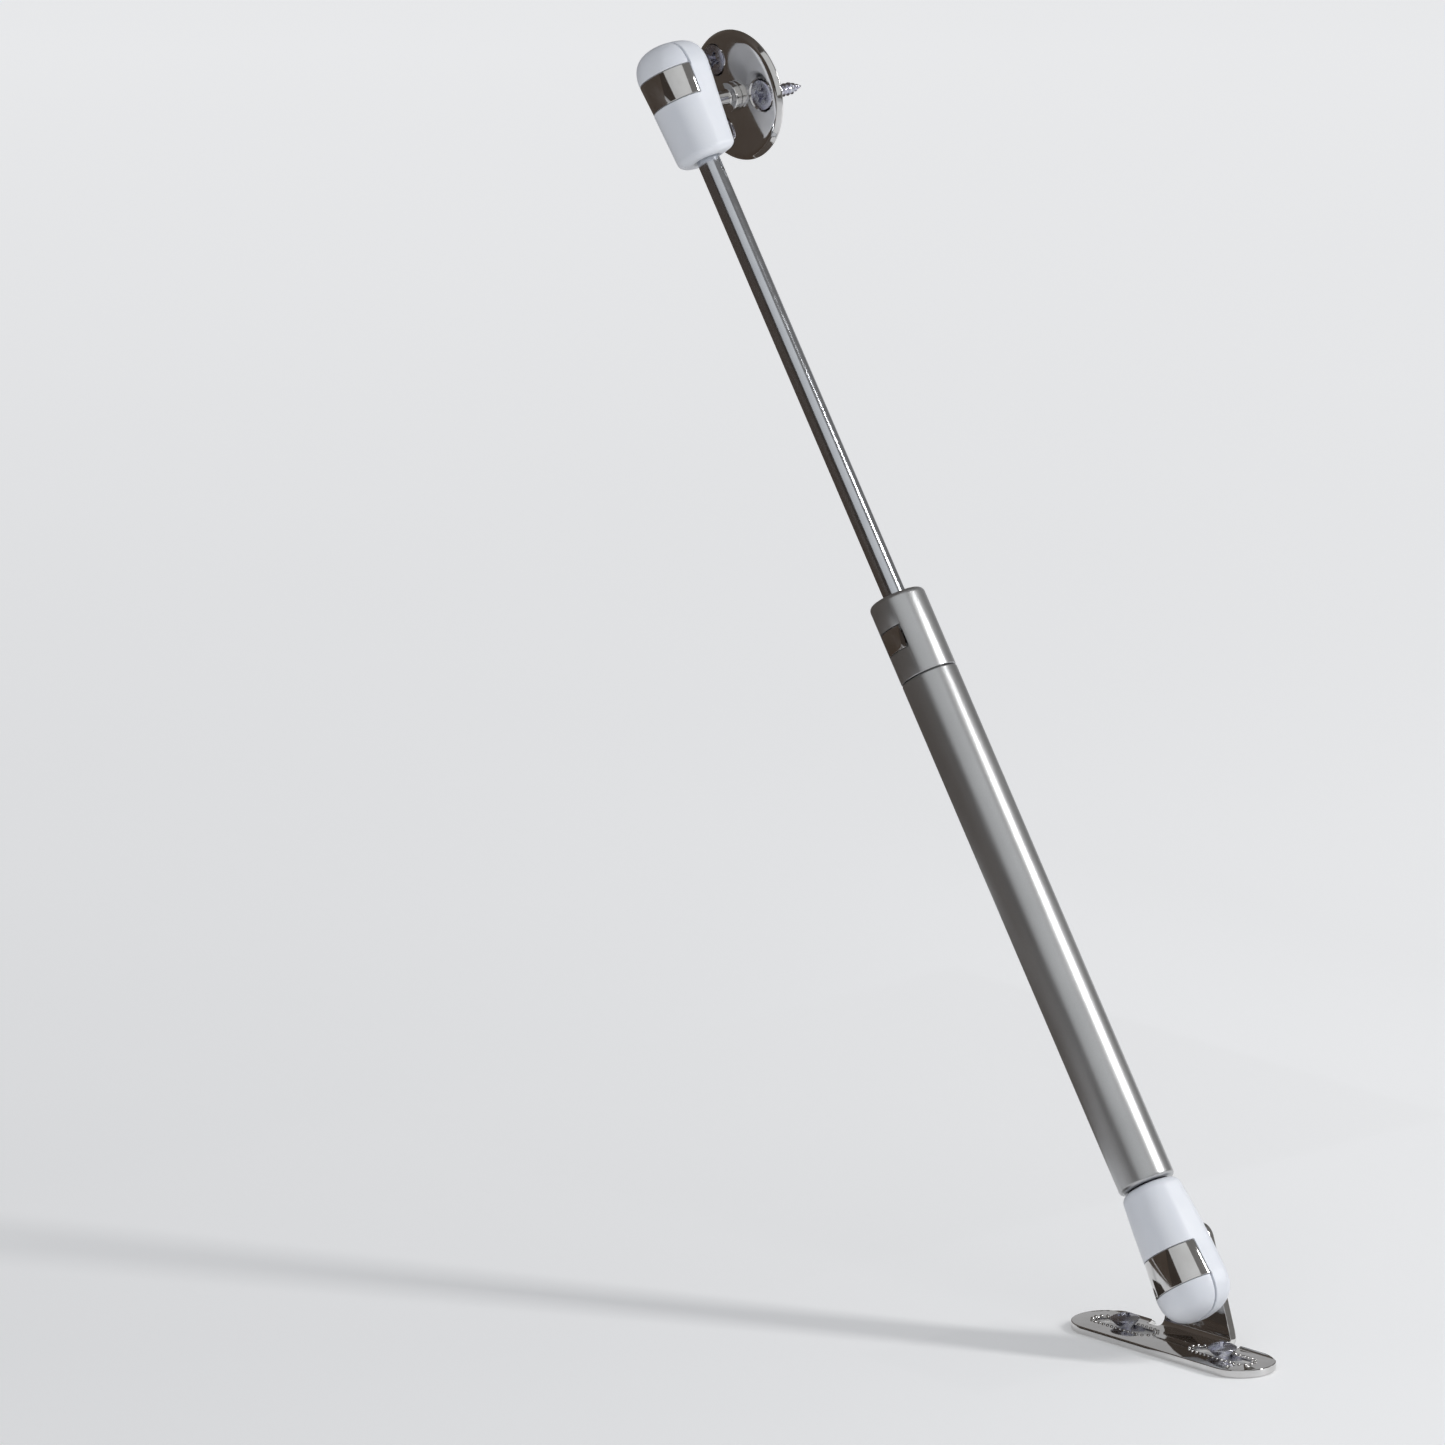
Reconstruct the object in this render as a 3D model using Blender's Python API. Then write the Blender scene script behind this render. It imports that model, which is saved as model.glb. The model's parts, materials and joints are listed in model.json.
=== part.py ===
"""Gas strut stay: a gas spring with clipped ball sockets, a round wall plate and a slotted door bracket.

Units are metres. +X points at the wall that the round plate is screwed to, +Y points along that wall
and +Z points up. The origin is the centre of the door bracket's underside. Pieces on the strut are
drawn along the strut's own axis, where height 0 is the centre of the lower ball.
"""

import math

import bmesh
import bpy

MM = 0.001
GAP = 0.3 * MM  # clearance between pieces that touch on the real strut

# Layout of the strut
LEAN = math.radians(35.0)  # from upright, towards +Y
LOWER_BALL_Z = 27.0 * MM
BALL_TO_BALL = 322.0 * MM
TUBE_LOW = 17.0 * MM  # heights along the strut axis
CAP_LOW = 161.0 * MM
CAP_HIGH = 183.0 * MM
UPPER_SOCKET_LOW = 307.0 * MM

# Pressure tube
TUBE_R = 7.5 * MM
WALL = 1.0 * MM
BORE_R = TUBE_R - WALL
ROLL_R = 1.5 * MM  # rolled lower rim
RIM_BORE_R = 5.4 * MM
NECK_R = 6.2 * MM  # drawn-in stretch under the cap
NECK_BORE_R = NECK_R - WALL
NECK_HIGH = 180.2 * MM
MOUTH_R = 4.2 * MM
BEAD_MID = 171.75 * MM  # rolled bead that locks the guide and the cap clip
BEAD_HALF = 1.2 * MM
BEAD_DEPTH = 0.9 * MM
BEAD_SLOPE = 0.7 * MM

# Cap and its clip
CAP_BORE_R = NECK_R + GAP
CAP_EDGE_R = 1.6 * MM
CAP_LID = 2.4 * MM
WINDOW_HALF_HEIGHT = 3.2 * MM
WINDOW_HALF_WIDTH = 4.3 * MM
CAP_CLIP_PAD_HALF = 2.9 * MM
CAP_CLIP_STRIP_HALF = 0.9 * MM
CAP_CLIP_SHEET = 0.6 * MM
CAP_CLIP_PAD_ANGLE = 28
CAP_CLIP_STEP_ANGLE = 4
CAP_CLIP_END_ANGLE = 124

# Rod, its guide and seal
ROD_R = 3.0 * MM
ROD_HOLE_R = ROD_R + GAP
ROD_THREAD_R = 2.45 * MM
ROD_SHOULDER = 308.0 * MM
ROD_HIGH = 314.6 * MM
SPIGOT_R = 2.0 * MM
SPIGOT_HIGH = 159.0 * MM
RIVET_HEAD_R = 2.9 * MM
GUIDE_R = NECK_BORE_R - GAP
STOP_LOW = 161.6 * MM
SEAL_LOW = 163.1 * MM
SEAL_HIGH = 167.6 * MM
SUPPORT_LOW = 167.9 * MM
GUIDE_LOW = 169.2 * MM
GUIDE_HIGH = 178.9 * MM

# Piston
PISTON_R = BORE_R - GAP
PISTON_LOW = 152.4 * MM
PISTON_HIGH = 157.2 * MM
RING_MID = 154.8 * MM
RING_HALF = 0.7 * MM
RING_GROOVE_R = 4.9 * MM
WASHER = 1.2 * MM
ORIFICE_R = 0.5 * MM
ORIFICE_RADIUS = 3.9 * MM

# End plug with its threaded stud
PLUG_HIGH = 27.0 * MM
PLUG_STUD_R = 2.95 * MM
PLUG_STUD_LOW = 8.6 * MM
O_RING_MID = 22.1 * MM
O_RING_R = 0.5 * MM

# Ball joints
BALL_R = 5.0 * MM
CAVITY_R = BALL_R + GAP
MOUTH_HOLE_R = 4.9 * MM
STUD_NECK_R = 2.0 * MM
SHANK_R = 2.5 * MM
RIVET_FLARE = 0.8 * MM  # how far the lower stud's peened end spreads, flush with the back of the tab
DOME_POWER = 2.6  # above 2, the dome is fuller than a half round
CLIP_SHEET = 0.8 * MM
CLIP_END_ANGLE = 94  # degrees from +Y round to each end of the clip
CLIP_SLOT_ANGLE = 2  # room past each end of the clip

# Sockets: each waist point is (distance from the tube or rod end, half width, depth of the flat +X face)
UPPER_SOCKET = {
    "start": UPPER_SOCKET_LOW,
    "towards": 1,
    "length": 32.0 * MM,
    "edge": 2.0 * MM,
    "waist": [(2.0, 7.8, 5.0), (11.4, 8.2, 5.7), (16.0, 8.4, 6.1), (23.5, 8.85, 6.7)],
    "ball": BALL_TO_BALL,
    "clip": (16.1 * MM, 23.9 * MM),
}
LOWER_SOCKET = {
    "start": TUBE_LOW - GAP,
    "towards": -1,
    "length": 36.9 * MM,
    "edge": 2.5 * MM,
    "waist": [(2.5, 7.7, 5.4), (10.0, 8.3, 6.0), (18.7, 8.8, 6.4), (27.7, 9.6, 6.2)],
    "ball": 0.0,
    "clip": (18.4 * MM, 28.0 * MM),
}

# Wall plate
PLATE_R = 17.0 * MM
PLATE_BACK_X = 18.5 * MM
PLATE_FRONT_X = 16.3 * MM
PLATE_SCREW_CIRCLE_R = 11.0 * MM
PLATE_SCREW_START = math.radians(168.0)  # first screw, from +Y towards +Z

# Door bracket
SHEET = 2.0 * MM
BASE_HALF_LENGTH = 34.2 * MM
BASE_HALF_WIDTH = 9.0 * MM
BEND_X = 6.8 * MM
BEND_INNER_R = 1.5 * MM
TAB_HALF_WIDTH = 12.6 * MM
RELIEF = 3.8 * MM
TAB_FACE_X = BEND_X + BEND_INNER_R
TAB_TOP_R = 4.3 * MM
SLOT_Y = 18.15 * MM
SLOT_LENGTH = 20.0 * MM
SLOT_WIDTH = 4.5 * MM

# Screws
SCREW_SHANK_R = 1.75 * MM
SCREW_HEAD_R = 3.9 * MM
SCREW_HEAD_EDGE = 0.2 * MM
SCREW_LENGTH = 14.0 * MM

FINE = 32
MEDIUM = 24
COARSE = 16


def clear_scene():
    for item in list(bpy.data.objects):
        bpy.data.objects.remove(item)


def make_look(name, colour, roughness, metallic):
    look = bpy.data.materials.new(name)
    look.use_nodes = True
    shader = look.node_tree.nodes["Principled BSDF"]
    shader.inputs["Base Color"].default_value = (*colour, 1.0)
    shader.inputs["Roughness"].default_value = roughness
    shader.inputs["Metallic"].default_value = metallic
    return look


def make_empty(name, parent, location, turn=(0.0, 0.0, 0.0)):
    empty = bpy.data.objects.new(name, None)
    bpy.context.scene.collection.objects.link(empty)
    empty.empty_display_size = 10.0 * MM
    empty.parent = parent
    empty.location = location
    empty.rotation_euler = turn
    return empty


def finish_piece(name, bm, parent, look, turn=(0.0, 0.0, 0.0), location=(0.0, 0.0, 0.0)):
    """Turns the mesh under construction into an object that is shaded smooth up to its sharp edges."""
    bmesh.ops.recalc_face_normals(bm, faces=bm.faces)
    mesh = bpy.data.meshes.new(name)
    bm.to_mesh(mesh)
    bm.free()
    mesh.shade_smooth()
    mesh.set_sharp_from_angle(angle=math.radians(35.0))
    if look:
        mesh.materials.append(look)
    piece = bpy.data.objects.new(name, mesh)
    bpy.context.scene.collection.objects.link(piece)
    piece.parent = parent
    piece.rotation_euler = turn
    piece.location = location
    return piece


def arc(centre, radius, start, end, steps):
    """Points of an arc in a plane, from one angle in degrees to another."""
    points = []
    for step in range(steps + 1):
        angle = math.radians(start + (end - start) * step / steps)
        points.append((centre[0] + radius * math.cos(angle), centre[1] + radius * math.sin(angle)))
    return points


def turned(name, outline, parent, look, steps=MEDIUM, **placing):
    """Revolves a (radius, height) outline about local Z; it may be closed, or run from axis to axis."""
    bm = bmesh.new()
    verts = [bm.verts.new((radius, 0.0, height)) for radius, height in outline]
    edges = [bm.edges.new(pair) for pair in zip(verts, verts[1:])]
    if outline[0][0] > 0.0:
        edges.append(bm.edges.new((verts[-1], verts[0])))
    bmesh.ops.spin(
        bm, geom=verts + edges, cent=(0, 0, 0), axis=(0, 0, 1), angle=math.tau, steps=steps, use_merge=True
    )
    bmesh.ops.remove_doubles(bm, verts=bm.verts, dist=0.001 * MM)
    return finish_piece(name, bm, parent, look, **placing)


def prism(name, outline, low, high, parent, look, **placing):
    """Extrudes a flat (x, y) outline from one height to another along local Z."""
    bm = bmesh.new()
    face = bm.faces.new([bm.verts.new((x, y, low)) for x, y in outline])
    raised = bmesh.ops.extrude_face_region(bm, geom=[face])["geom"]
    verts = [item for item in raised if isinstance(item, bmesh.types.BMVert)]
    bmesh.ops.translate(bm, verts=verts, vec=(0.0, 0.0, high - low))
    return finish_piece(name, bm, parent, look, **placing)


def loft(name, sections, parent, look, **placing):
    """Joins outlines of equal point counts, each a list of (x, y, z) points, and closes both ends."""
    bm = bmesh.new()
    rings = [[bm.verts.new(point) for point in section] for section in sections]
    for below, above in zip(rings, rings[1:]):
        for i, vert in enumerate(below):
            bm.faces.new((below[i - 1], vert, above[i], above[i - 1]))
    bm.faces.new(rings[0])
    bm.faces.new(rings[-1])
    return finish_piece(name, bm, parent, look, **placing)


def cut(piece, cutter):
    cutter.hide_render = True
    cutter.display_type = "WIRE"
    boolean = piece.modifiers.new(cutter.name, "BOOLEAN")
    boolean.operation = "DIFFERENCE"
    boolean.solver = "EXACT"
    boolean.object = cutter


def stadium(half_length, half_width, steps):
    """Outline of a slot along local Y."""
    reach = half_length - half_width
    top = arc((0.0, reach), half_width, 0, 180, steps)
    return top + arc((0.0, -reach), half_width, 180, 360, steps)


def washer_outline(inner, outer, low, high):
    return [(inner, low), (outer, low), (outer, high), (inner, high)]


# ---------------------------------------------------------------- cylinder


def build_tube(axis, look):
    roll = (TUBE_R - ROLL_R, TUBE_LOW + ROLL_R)
    step_low = CAP_LOW - GAP
    bead = (BEAD_MID - BEAD_HALF - BEAD_SLOPE, BEAD_MID + BEAD_HALF + BEAD_SLOPE)
    groove_r = NECK_R - BEAD_DEPTH
    ridge_r = NECK_BORE_R - BEAD_DEPTH
    outline = [(RIM_BORE_R, TUBE_LOW)]
    outline += arc(roll, ROLL_R, -90, 0, 5)
    outline += [(TUBE_R, step_low - 2 * GAP), (TUBE_R - GAP, step_low)]
    outline += [(NECK_R + GAP, step_low), (NECK_R, step_low + GAP)]
    outline += [(NECK_R, bead[0]), (groove_r, bead[0] + BEAD_SLOPE)]
    outline += [(groove_r, bead[1] - BEAD_SLOPE), (NECK_R, bead[1])]
    outline += [(NECK_R, NECK_HIGH - 2 * GAP), (NECK_R - 2 * GAP, NECK_HIGH), (MOUTH_R, NECK_HIGH)]
    outline += [(MOUTH_R, NECK_HIGH - WALL), (NECK_BORE_R, NECK_HIGH - WALL)]
    outline += [(NECK_BORE_R, bead[1] + GAP), (ridge_r, bead[1] + GAP - BEAD_SLOPE)]
    outline += [(ridge_r, bead[0] - GAP + BEAD_SLOPE), (NECK_BORE_R, bead[0] - GAP)]
    outline += [(NECK_BORE_R, step_low + GAP), (BORE_R, step_low - WALL)]
    outline += arc(roll, ROLL_R - WALL, 0, -90, 3)
    outline += [(RIM_BORE_R, TUBE_LOW + WALL)]
    turned("pressure_tube", outline, axis, look, FINE)


def build_cap(axis, look):
    edge = (TUBE_R - CAP_EDGE_R, CAP_HIGH - CAP_EDGE_R)
    chamfer = 0.4 * MM
    outline = [(CAP_BORE_R + chamfer, CAP_LOW)]
    outline += [(TUBE_R - chamfer / 2, CAP_LOW), (TUBE_R, CAP_LOW + chamfer / 2)]
    outline += arc(edge, CAP_EDGE_R, 0, 90, 5)
    outline += [(ROD_HOLE_R + chamfer, CAP_HIGH), (ROD_HOLE_R, CAP_HIGH - chamfer)]
    outline += [(ROD_HOLE_R, CAP_HIGH - CAP_LID), (CAP_BORE_R, CAP_HIGH - CAP_LID)]
    outline += [(CAP_BORE_R, CAP_LOW + chamfer)]
    cap = turned("tube_cap", outline, axis, look, FINE)
    far = TUBE_R + 2 * MM
    side = WINDOW_HALF_WIDTH
    window = [(-far, -side), (-ROD_R, -side), (-ROD_R, side), (-far, side)]
    ends = (BEAD_MID - WINDOW_HALF_HEIGHT, BEAD_MID + WINDOW_HALF_HEIGHT)
    cut(cap, prism("cap_window_cutter", window, *ends, axis, None))


def build_cap_clip(axis, look):
    """A band that shows in the cap's window, narrows at each side and then sinks into the tube's bead."""
    pad_r = TUBE_R - GAP
    pad = (pad_r - CAP_CLIP_SHEET, pad_r)
    strip = (NECK_R - CAP_CLIP_SHEET, NECK_R)
    sections = []
    for degrees in range(-CAP_CLIP_END_ANGLE, CAP_CLIP_END_ANGLE + 1, CAP_CLIP_STEP_ANGLE):
        steps_past = max((abs(degrees) - CAP_CLIP_PAD_ANGLE) / CAP_CLIP_STEP_ANGLE, 0.0)
        narrowed = min(steps_past, 1.0)
        sunk = min(max(steps_past - 1.0, 0.0), 1.0)
        half = CAP_CLIP_PAD_HALF + (CAP_CLIP_STRIP_HALF - CAP_CLIP_PAD_HALF) * narrowed
        inner, outer = [a + (b - a) * sunk for a, b in zip(pad, strip)]
        cosine = -math.cos(math.radians(degrees))
        sine = math.sin(math.radians(degrees))
        corners = [(inner, -half), (outer, -half), (outer, half), (inner, half)]
        sections.append([(r * cosine, r * sine, BEAD_MID + h) for r, h in corners])
    loft("tube_cap_clip", sections, axis, look)


def build_guide_stack(axis, looks):
    """What closes the tube round the rod, from the inside outwards."""
    stop = washer_outline(ROD_HOLE_R, GUIDE_R, STOP_LOW, STOP_LOW + WASHER)
    turned("stop_washer", stop, axis, looks["zinc"])

    lip = 0.4 * MM
    hollow_high = SEAL_LOW + 1.9 * MM
    seal = [(ROD_HOLE_R, SEAL_LOW), (ROD_HOLE_R + lip, SEAL_LOW), (ROD_HOLE_R + 2 * lip, hollow_high)]
    seal += [(GUIDE_R - 2 * lip, hollow_high), (GUIDE_R - lip, SEAL_LOW), (GUIDE_R, SEAL_LOW)]
    seal += [(GUIDE_R, SEAL_HIGH), (ROD_HOLE_R, SEAL_HIGH)]
    turned("rod_seal", seal, axis, looks["rubber"])

    support = washer_outline(ROD_HOLE_R, GUIDE_R, SUPPORT_LOW, SUPPORT_LOW + 1.0 * MM)
    turned("seal_support_washer", support, axis, looks["zinc"])

    waist_r = NECK_BORE_R - BEAD_DEPTH - GAP
    reach = BEAD_HALF + 2 * GAP
    guide = [(ROD_HOLE_R, GUIDE_LOW), (GUIDE_R, GUIDE_LOW)]
    guide += [(GUIDE_R, BEAD_MID - reach - BEAD_SLOPE), (waist_r, BEAD_MID - reach)]
    guide += [(waist_r, BEAD_MID + reach), (GUIDE_R, BEAD_MID + reach + BEAD_SLOPE)]
    guide += [(GUIDE_R, GUIDE_HIGH), (ROD_HOLE_R, GUIDE_HIGH)]
    turned("rod_guide_bush", guide, axis, looks["brass"])


def build_end_plug(axis, looks):
    low = TUBE_LOW + WALL + GAP
    bevel = 0.6 * MM
    groove = (O_RING_MID - O_RING_R - 2 * GAP, O_RING_MID + O_RING_R + 2 * GAP)
    outline = [(0.0, PLUG_STUD_LOW), (PLUG_STUD_R - bevel, PLUG_STUD_LOW)]
    outline += [(PLUG_STUD_R, PLUG_STUD_LOW + bevel), (PLUG_STUD_R, low)]
    outline += [(PISTON_R - bevel, low), (PISTON_R, low + bevel)]
    outline += [(PISTON_R, groove[0]), (RING_GROOVE_R, groove[0]), (RING_GROOVE_R, groove[1])]
    outline += [(PISTON_R, groove[1]), (PISTON_R, PLUG_HIGH - bevel)]
    outline += [(PISTON_R - bevel, PLUG_HIGH), (0.0, PLUG_HIGH)]
    turned("tube_end_plug", outline, axis, looks["zinc"])
    ring = arc((PISTON_R - O_RING_R, O_RING_MID), O_RING_R, 0, 315, 7)
    turned("end_plug_o_ring", ring, axis, looks["rubber"])


# ---------------------------------------------------------------- rod and piston


def build_piston(axis, looks):
    hole_r = SPIGOT_R + GAP
    groove = (RING_MID - RING_HALF - GAP, RING_MID + RING_HALF + GAP)
    outline = [(hole_r, PISTON_LOW), (PISTON_R, PISTON_LOW), (PISTON_R, groove[0])]
    outline += [(RING_GROOVE_R, groove[0]), (RING_GROOVE_R, groove[1])]
    outline += [(PISTON_R, groove[1]), (PISTON_R, PISTON_HIGH), (hole_r, PISTON_HIGH)]
    piston = turned("piston", outline, axis, looks["nylon"])
    orifice = [(ORIFICE_RADIUS + x, y) for x, y in arc((0.0, 0.0), ORIFICE_R, 0, 315, 7)]
    cut(piston, prism("orifice_cutter", orifice, PISTON_LOW - MM, PISTON_HIGH + MM, axis, None))

    ring = washer_outline(RING_GROOVE_R + GAP, PISTON_R, RING_MID - RING_HALF, RING_MID + RING_HALF)
    turned("piston_ring", ring, axis, looks["rubber"])
    top = washer_outline(hole_r, 5.6 * MM, PISTON_HIGH + GAP, PISTON_HIGH + GAP + WASHER)
    turned("piston_top_washer", top, axis, looks["zinc"])
    bottom = washer_outline(hole_r, 5.0 * MM, PISTON_LOW - GAP - WASHER, PISTON_LOW - GAP)
    turned("piston_bottom_washer", bottom, axis, looks["zinc"])


def build_rod(axis, look):
    rivet_high = PISTON_LOW - GAP - WASHER - GAP
    rivet_low = rivet_high - WASHER
    bevel = 0.5 * MM
    outline = [(0.0, rivet_low), (SPIGOT_R, rivet_low + 0.1 * MM), (RIVET_HEAD_R, rivet_low + bevel)]
    outline += [(RIVET_HEAD_R, rivet_high), (SPIGOT_R, rivet_high)]
    outline += [(SPIGOT_R, SPIGOT_HIGH), (ROD_R, SPIGOT_HIGH)]
    outline += [(ROD_R, ROD_SHOULDER - bevel), (ROD_R - bevel, ROD_SHOULDER), (ROD_THREAD_R, ROD_SHOULDER)]
    outline += [(ROD_THREAD_R, ROD_HIGH - bevel), (ROD_THREAD_R - bevel, ROD_HIGH), (0.0, ROD_HIGH)]
    turned("piston_rod", outline, axis, look)


# ---------------------------------------------------------------- ball sockets


def waist_at(socket, along):
    """Half width and face depth of a socket at a distance from its tube or rod end."""
    waist = [tuple(value * MM for value in point) for point in socket["waist"]]
    for before, after in zip(waist, waist[1:]):
        if along <= after[0]:
            break
    share = (along - before[0]) / (after[0] - before[0])
    return [a + (b - a) * share for a, b in zip(before[1:], after[1:])]


def socket_section(half_width, depth, corner, height):
    """One outline across a socket: round on the -X side, and a flat face with rounded corners at +X."""
    corner = min(corner, 0.8 * half_width, 0.9 * depth)
    middle = depth - corner
    points = arc((0.0, 0.0), half_width, 90, 270, 12)
    points += arc((middle, corner - half_width), corner, -90, 0, 3)
    points += arc((middle, half_width - corner), corner, 0, 90, 3)
    return [(x, y, height) for x, y in points]


def socket_sections(socket):
    """Outlines of a socket from its rounded tube or rod end to the tip of its dome."""
    edge = socket["edge"]
    first, last = socket["waist"][0], socket["waist"][-1]
    stations = []
    for degrees in (0, 30, 60):
        along = edge * (1 - math.cos(math.radians(degrees)))
        inset = edge * (1 - math.sin(math.radians(degrees)))
        stations.append((along, first[1] * MM - inset, first[2] * MM - inset))
    stations += [tuple(value * MM for value in point) for point in socket["waist"]]
    dome_height = socket["length"] - last[0] * MM
    for degrees in (12, 24, 36, 48, 60, 72, 84):
        narrowing = math.cos(math.radians(degrees)) ** (2 / DOME_POWER)
        rise = math.sin(math.radians(degrees)) ** (2 / DOME_POWER)
        depth = last[2] * MM * (0.12 + 0.88 * narrowing)
        stations.append((last[0] * MM + dome_height * rise, last[1] * MM * narrowing, depth))
    start, towards = socket["start"], socket["towards"]
    return [socket_section(half, depth, edge, start + towards * along) for along, half, depth in stations]


def clip_sections(socket, outside, sheet, end_angle, margin):
    """Two C-shaped outlines, open towards +X, that follow the socket's taper."""
    sections = []
    for along in (socket["clip"][0] - margin, socket["clip"][1] + margin):
        half_width = waist_at(socket, along)[0]
        outer, inner = half_width + outside, half_width - sheet
        points = arc((0.0, 0.0), outer, end_angle, 360 - end_angle, 16)
        points += arc((0.0, 0.0), inner, 360 - end_angle, end_angle, 16)
        height = socket["start"] + socket["towards"] * along
        sections.append([(x, y, height) for x, y in points])
    return sections


def build_socket(name, axis, look, socket, bore):
    piece = loft(name, socket_sections(socket), axis, look)
    centre = (0.0, 0.0, socket["ball"])
    bm = bmesh.new()
    bmesh.ops.create_uvsphere(bm, u_segments=MEDIUM, v_segments=MEDIUM // 2, radius=CAVITY_R)
    cut(piece, finish_piece(name + "_cavity_cutter", bm, axis, None, location=centre))
    mouth = arc((0.0, 0.0), MOUTH_HOLE_R, 0, 345, 23)
    sideways = {"turn": (0.0, math.pi / 2, 0.0), "location": centre}
    cut(piece, prism(name + "_mouth_cutter", mouth, 0.5 * MM, 12 * MM, axis, None, **sideways))
    cut(piece, turned(name + "_bore_cutter", bore, axis, None))
    groove = clip_sections(socket, 4 * MM, CLIP_SHEET + GAP, CLIP_END_ANGLE - CLIP_SLOT_ANGLE, GAP)
    cut(piece, loft(name + "_groove_cutter", groove, axis, None))


def build_socket_clip(name, axis, look, socket):
    loft(name, clip_sections(socket, 0.0, CLIP_SHEET, CLIP_END_ANGLE, 0.0), axis, look)


# ---------------------------------------------------------------- studs, plate and bracket


def ball_outline():
    neck_angle = math.degrees(math.acos(STUD_NECK_R / BALL_R))
    points = arc((0.0, 0.0), BALL_R, -90, neck_angle, 10)
    return [(0.0, -BALL_R)] + points[1:]


def build_upper_stud(centre, look, turn):
    collar_x = 14.2 * MM
    collar_r = 3.9 * MM
    foot_x = PLATE_FRONT_X - GAP
    outline = ball_outline()
    outline += [(STUD_NECK_R, collar_x), (collar_r, collar_x), (collar_r, foot_x), (SHANK_R, foot_x)]
    outline += [(SHANK_R, PLATE_BACK_X - 1.1 * MM)]
    outline += [(3.4 * MM, PLATE_BACK_X - 0.2 * MM), (0.0, PLATE_BACK_X - 0.2 * MM)]
    turned("upper_ball_stud", outline, centre, look, turn=turn)


def build_lower_stud(centre, look, turn):
    collar_x = TAB_FACE_X - GAP - 0.9 * MM
    tab_back = TAB_FACE_X + SHEET
    outline = ball_outline()
    outline += [(STUD_NECK_R, collar_x), (3.6 * MM, collar_x), (3.6 * MM, TAB_FACE_X - GAP)]
    outline += [(SHANK_R, TAB_FACE_X - GAP), (SHANK_R, tab_back - RIVET_FLARE)]
    outline += [(SHANK_R + RIVET_FLARE - 0.1 * MM, tab_back - 0.1 * MM), (0.0, tab_back - 0.1 * MM)]
    turned("lower_ball_stud", outline, centre, look, turn=turn)


def countersink(name, parent, face, end, **placing):
    """A cutter for a countersunk screw: a 45 degree cone from just before the face, then a through hole."""
    head_r = SCREW_HEAD_R + 1.5 * GAP + SCREW_HEAD_EDGE
    hole_r = SCREW_SHANK_R + GAP
    outline = [(0.0, face - MM), (head_r + MM, face - MM)]
    outline += [(hole_r, face + head_r - hole_r), (hole_r, end), (0.0, end)]
    return turned(name, outline, parent, None, COARSE, **placing)


def plate_screw_places():
    places = []
    for number in range(3):
        angle = PLATE_SCREW_START + number * math.tau / 3
        places.append((0.0, PLATE_SCREW_CIRCLE_R * math.cos(angle), PLATE_SCREW_CIRCLE_R * math.sin(angle)))
    return places


def build_wall_plate(centre, look, turn):
    rim = 0.9 * MM
    outline = [(SHANK_R + GAP, PLATE_FRONT_X), (0.45 * PLATE_R, PLATE_FRONT_X)]
    outline += [(0.8 * PLATE_R, PLATE_FRONT_X + 0.15 * MM)]
    outline += [(PLATE_R - 1.6 * MM, PLATE_FRONT_X + 0.5 * MM), (PLATE_R - 0.5 * MM, PLATE_FRONT_X + rim)]
    outline += [(PLATE_R, PLATE_FRONT_X + rim + 0.5 * MM), (PLATE_R, PLATE_BACK_X - 0.3 * MM)]
    outline += [(PLATE_R - 0.3 * MM, PLATE_BACK_X), (3.8 * MM, PLATE_BACK_X)]
    outline += [(SHANK_R + GAP, PLATE_BACK_X - 1.1 * MM)]
    plate = turned("wall_plate", outline, centre, look, 40, turn=turn)
    for number, place in enumerate(plate_screw_places(), 1):
        name = f"plate_hole_cutter_{number}"
        cut(plate, countersink(name, centre, PLATE_FRONT_X, PLATE_BACK_X + 2 * MM, turn=turn, location=place))


def cross_outline(reach, half):
    """A plus sign with arms of the given reach."""
    quarter = [(reach, -half), (reach, half), (half, half)]
    points = []
    for turns in range(4):
        for x, y in quarter:
            for _ in range(turns):
                x, y = -y, x
            points.append((x, y))
    return points


def build_screw(name, centre, look, head, **placing):
    """A wood screw along local Z, head on top; head lists (radius, height) points from the top down."""
    tip = [(SCREW_SHANK_R, -SCREW_LENGTH + 3 * MM), (0.0, -SCREW_LENGTH)]
    screw = turned(name, head + tip, centre, look, COARSE, **placing)
    top = max(height for _, height in head)
    cross = cross_outline(2.1 * MM, 0.45 * MM)
    cut(screw, prism(name + "_cross_cutter", cross, top - 1.3 * MM, top + MM, centre, None, **placing))


def build_plate_screws(centre, look, turn):
    head = [(0.0, 0.1 * MM), (0.7 * SCREW_HEAD_R, 0.08 * MM), (SCREW_HEAD_R, 0.0)]
    cone_low = SCREW_SHANK_R - SCREW_HEAD_R - SCREW_HEAD_EDGE
    head += [(SCREW_HEAD_R, -SCREW_HEAD_EDGE), (SCREW_SHANK_R, cone_low)]
    for number, (x, y, z) in enumerate(plate_screw_places(), 1):
        place = (x + PLATE_FRONT_X, y, z)
        build_screw(f"wall_plate_screw_{number}", centre, look, head, turn=turn, location=place)


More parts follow.
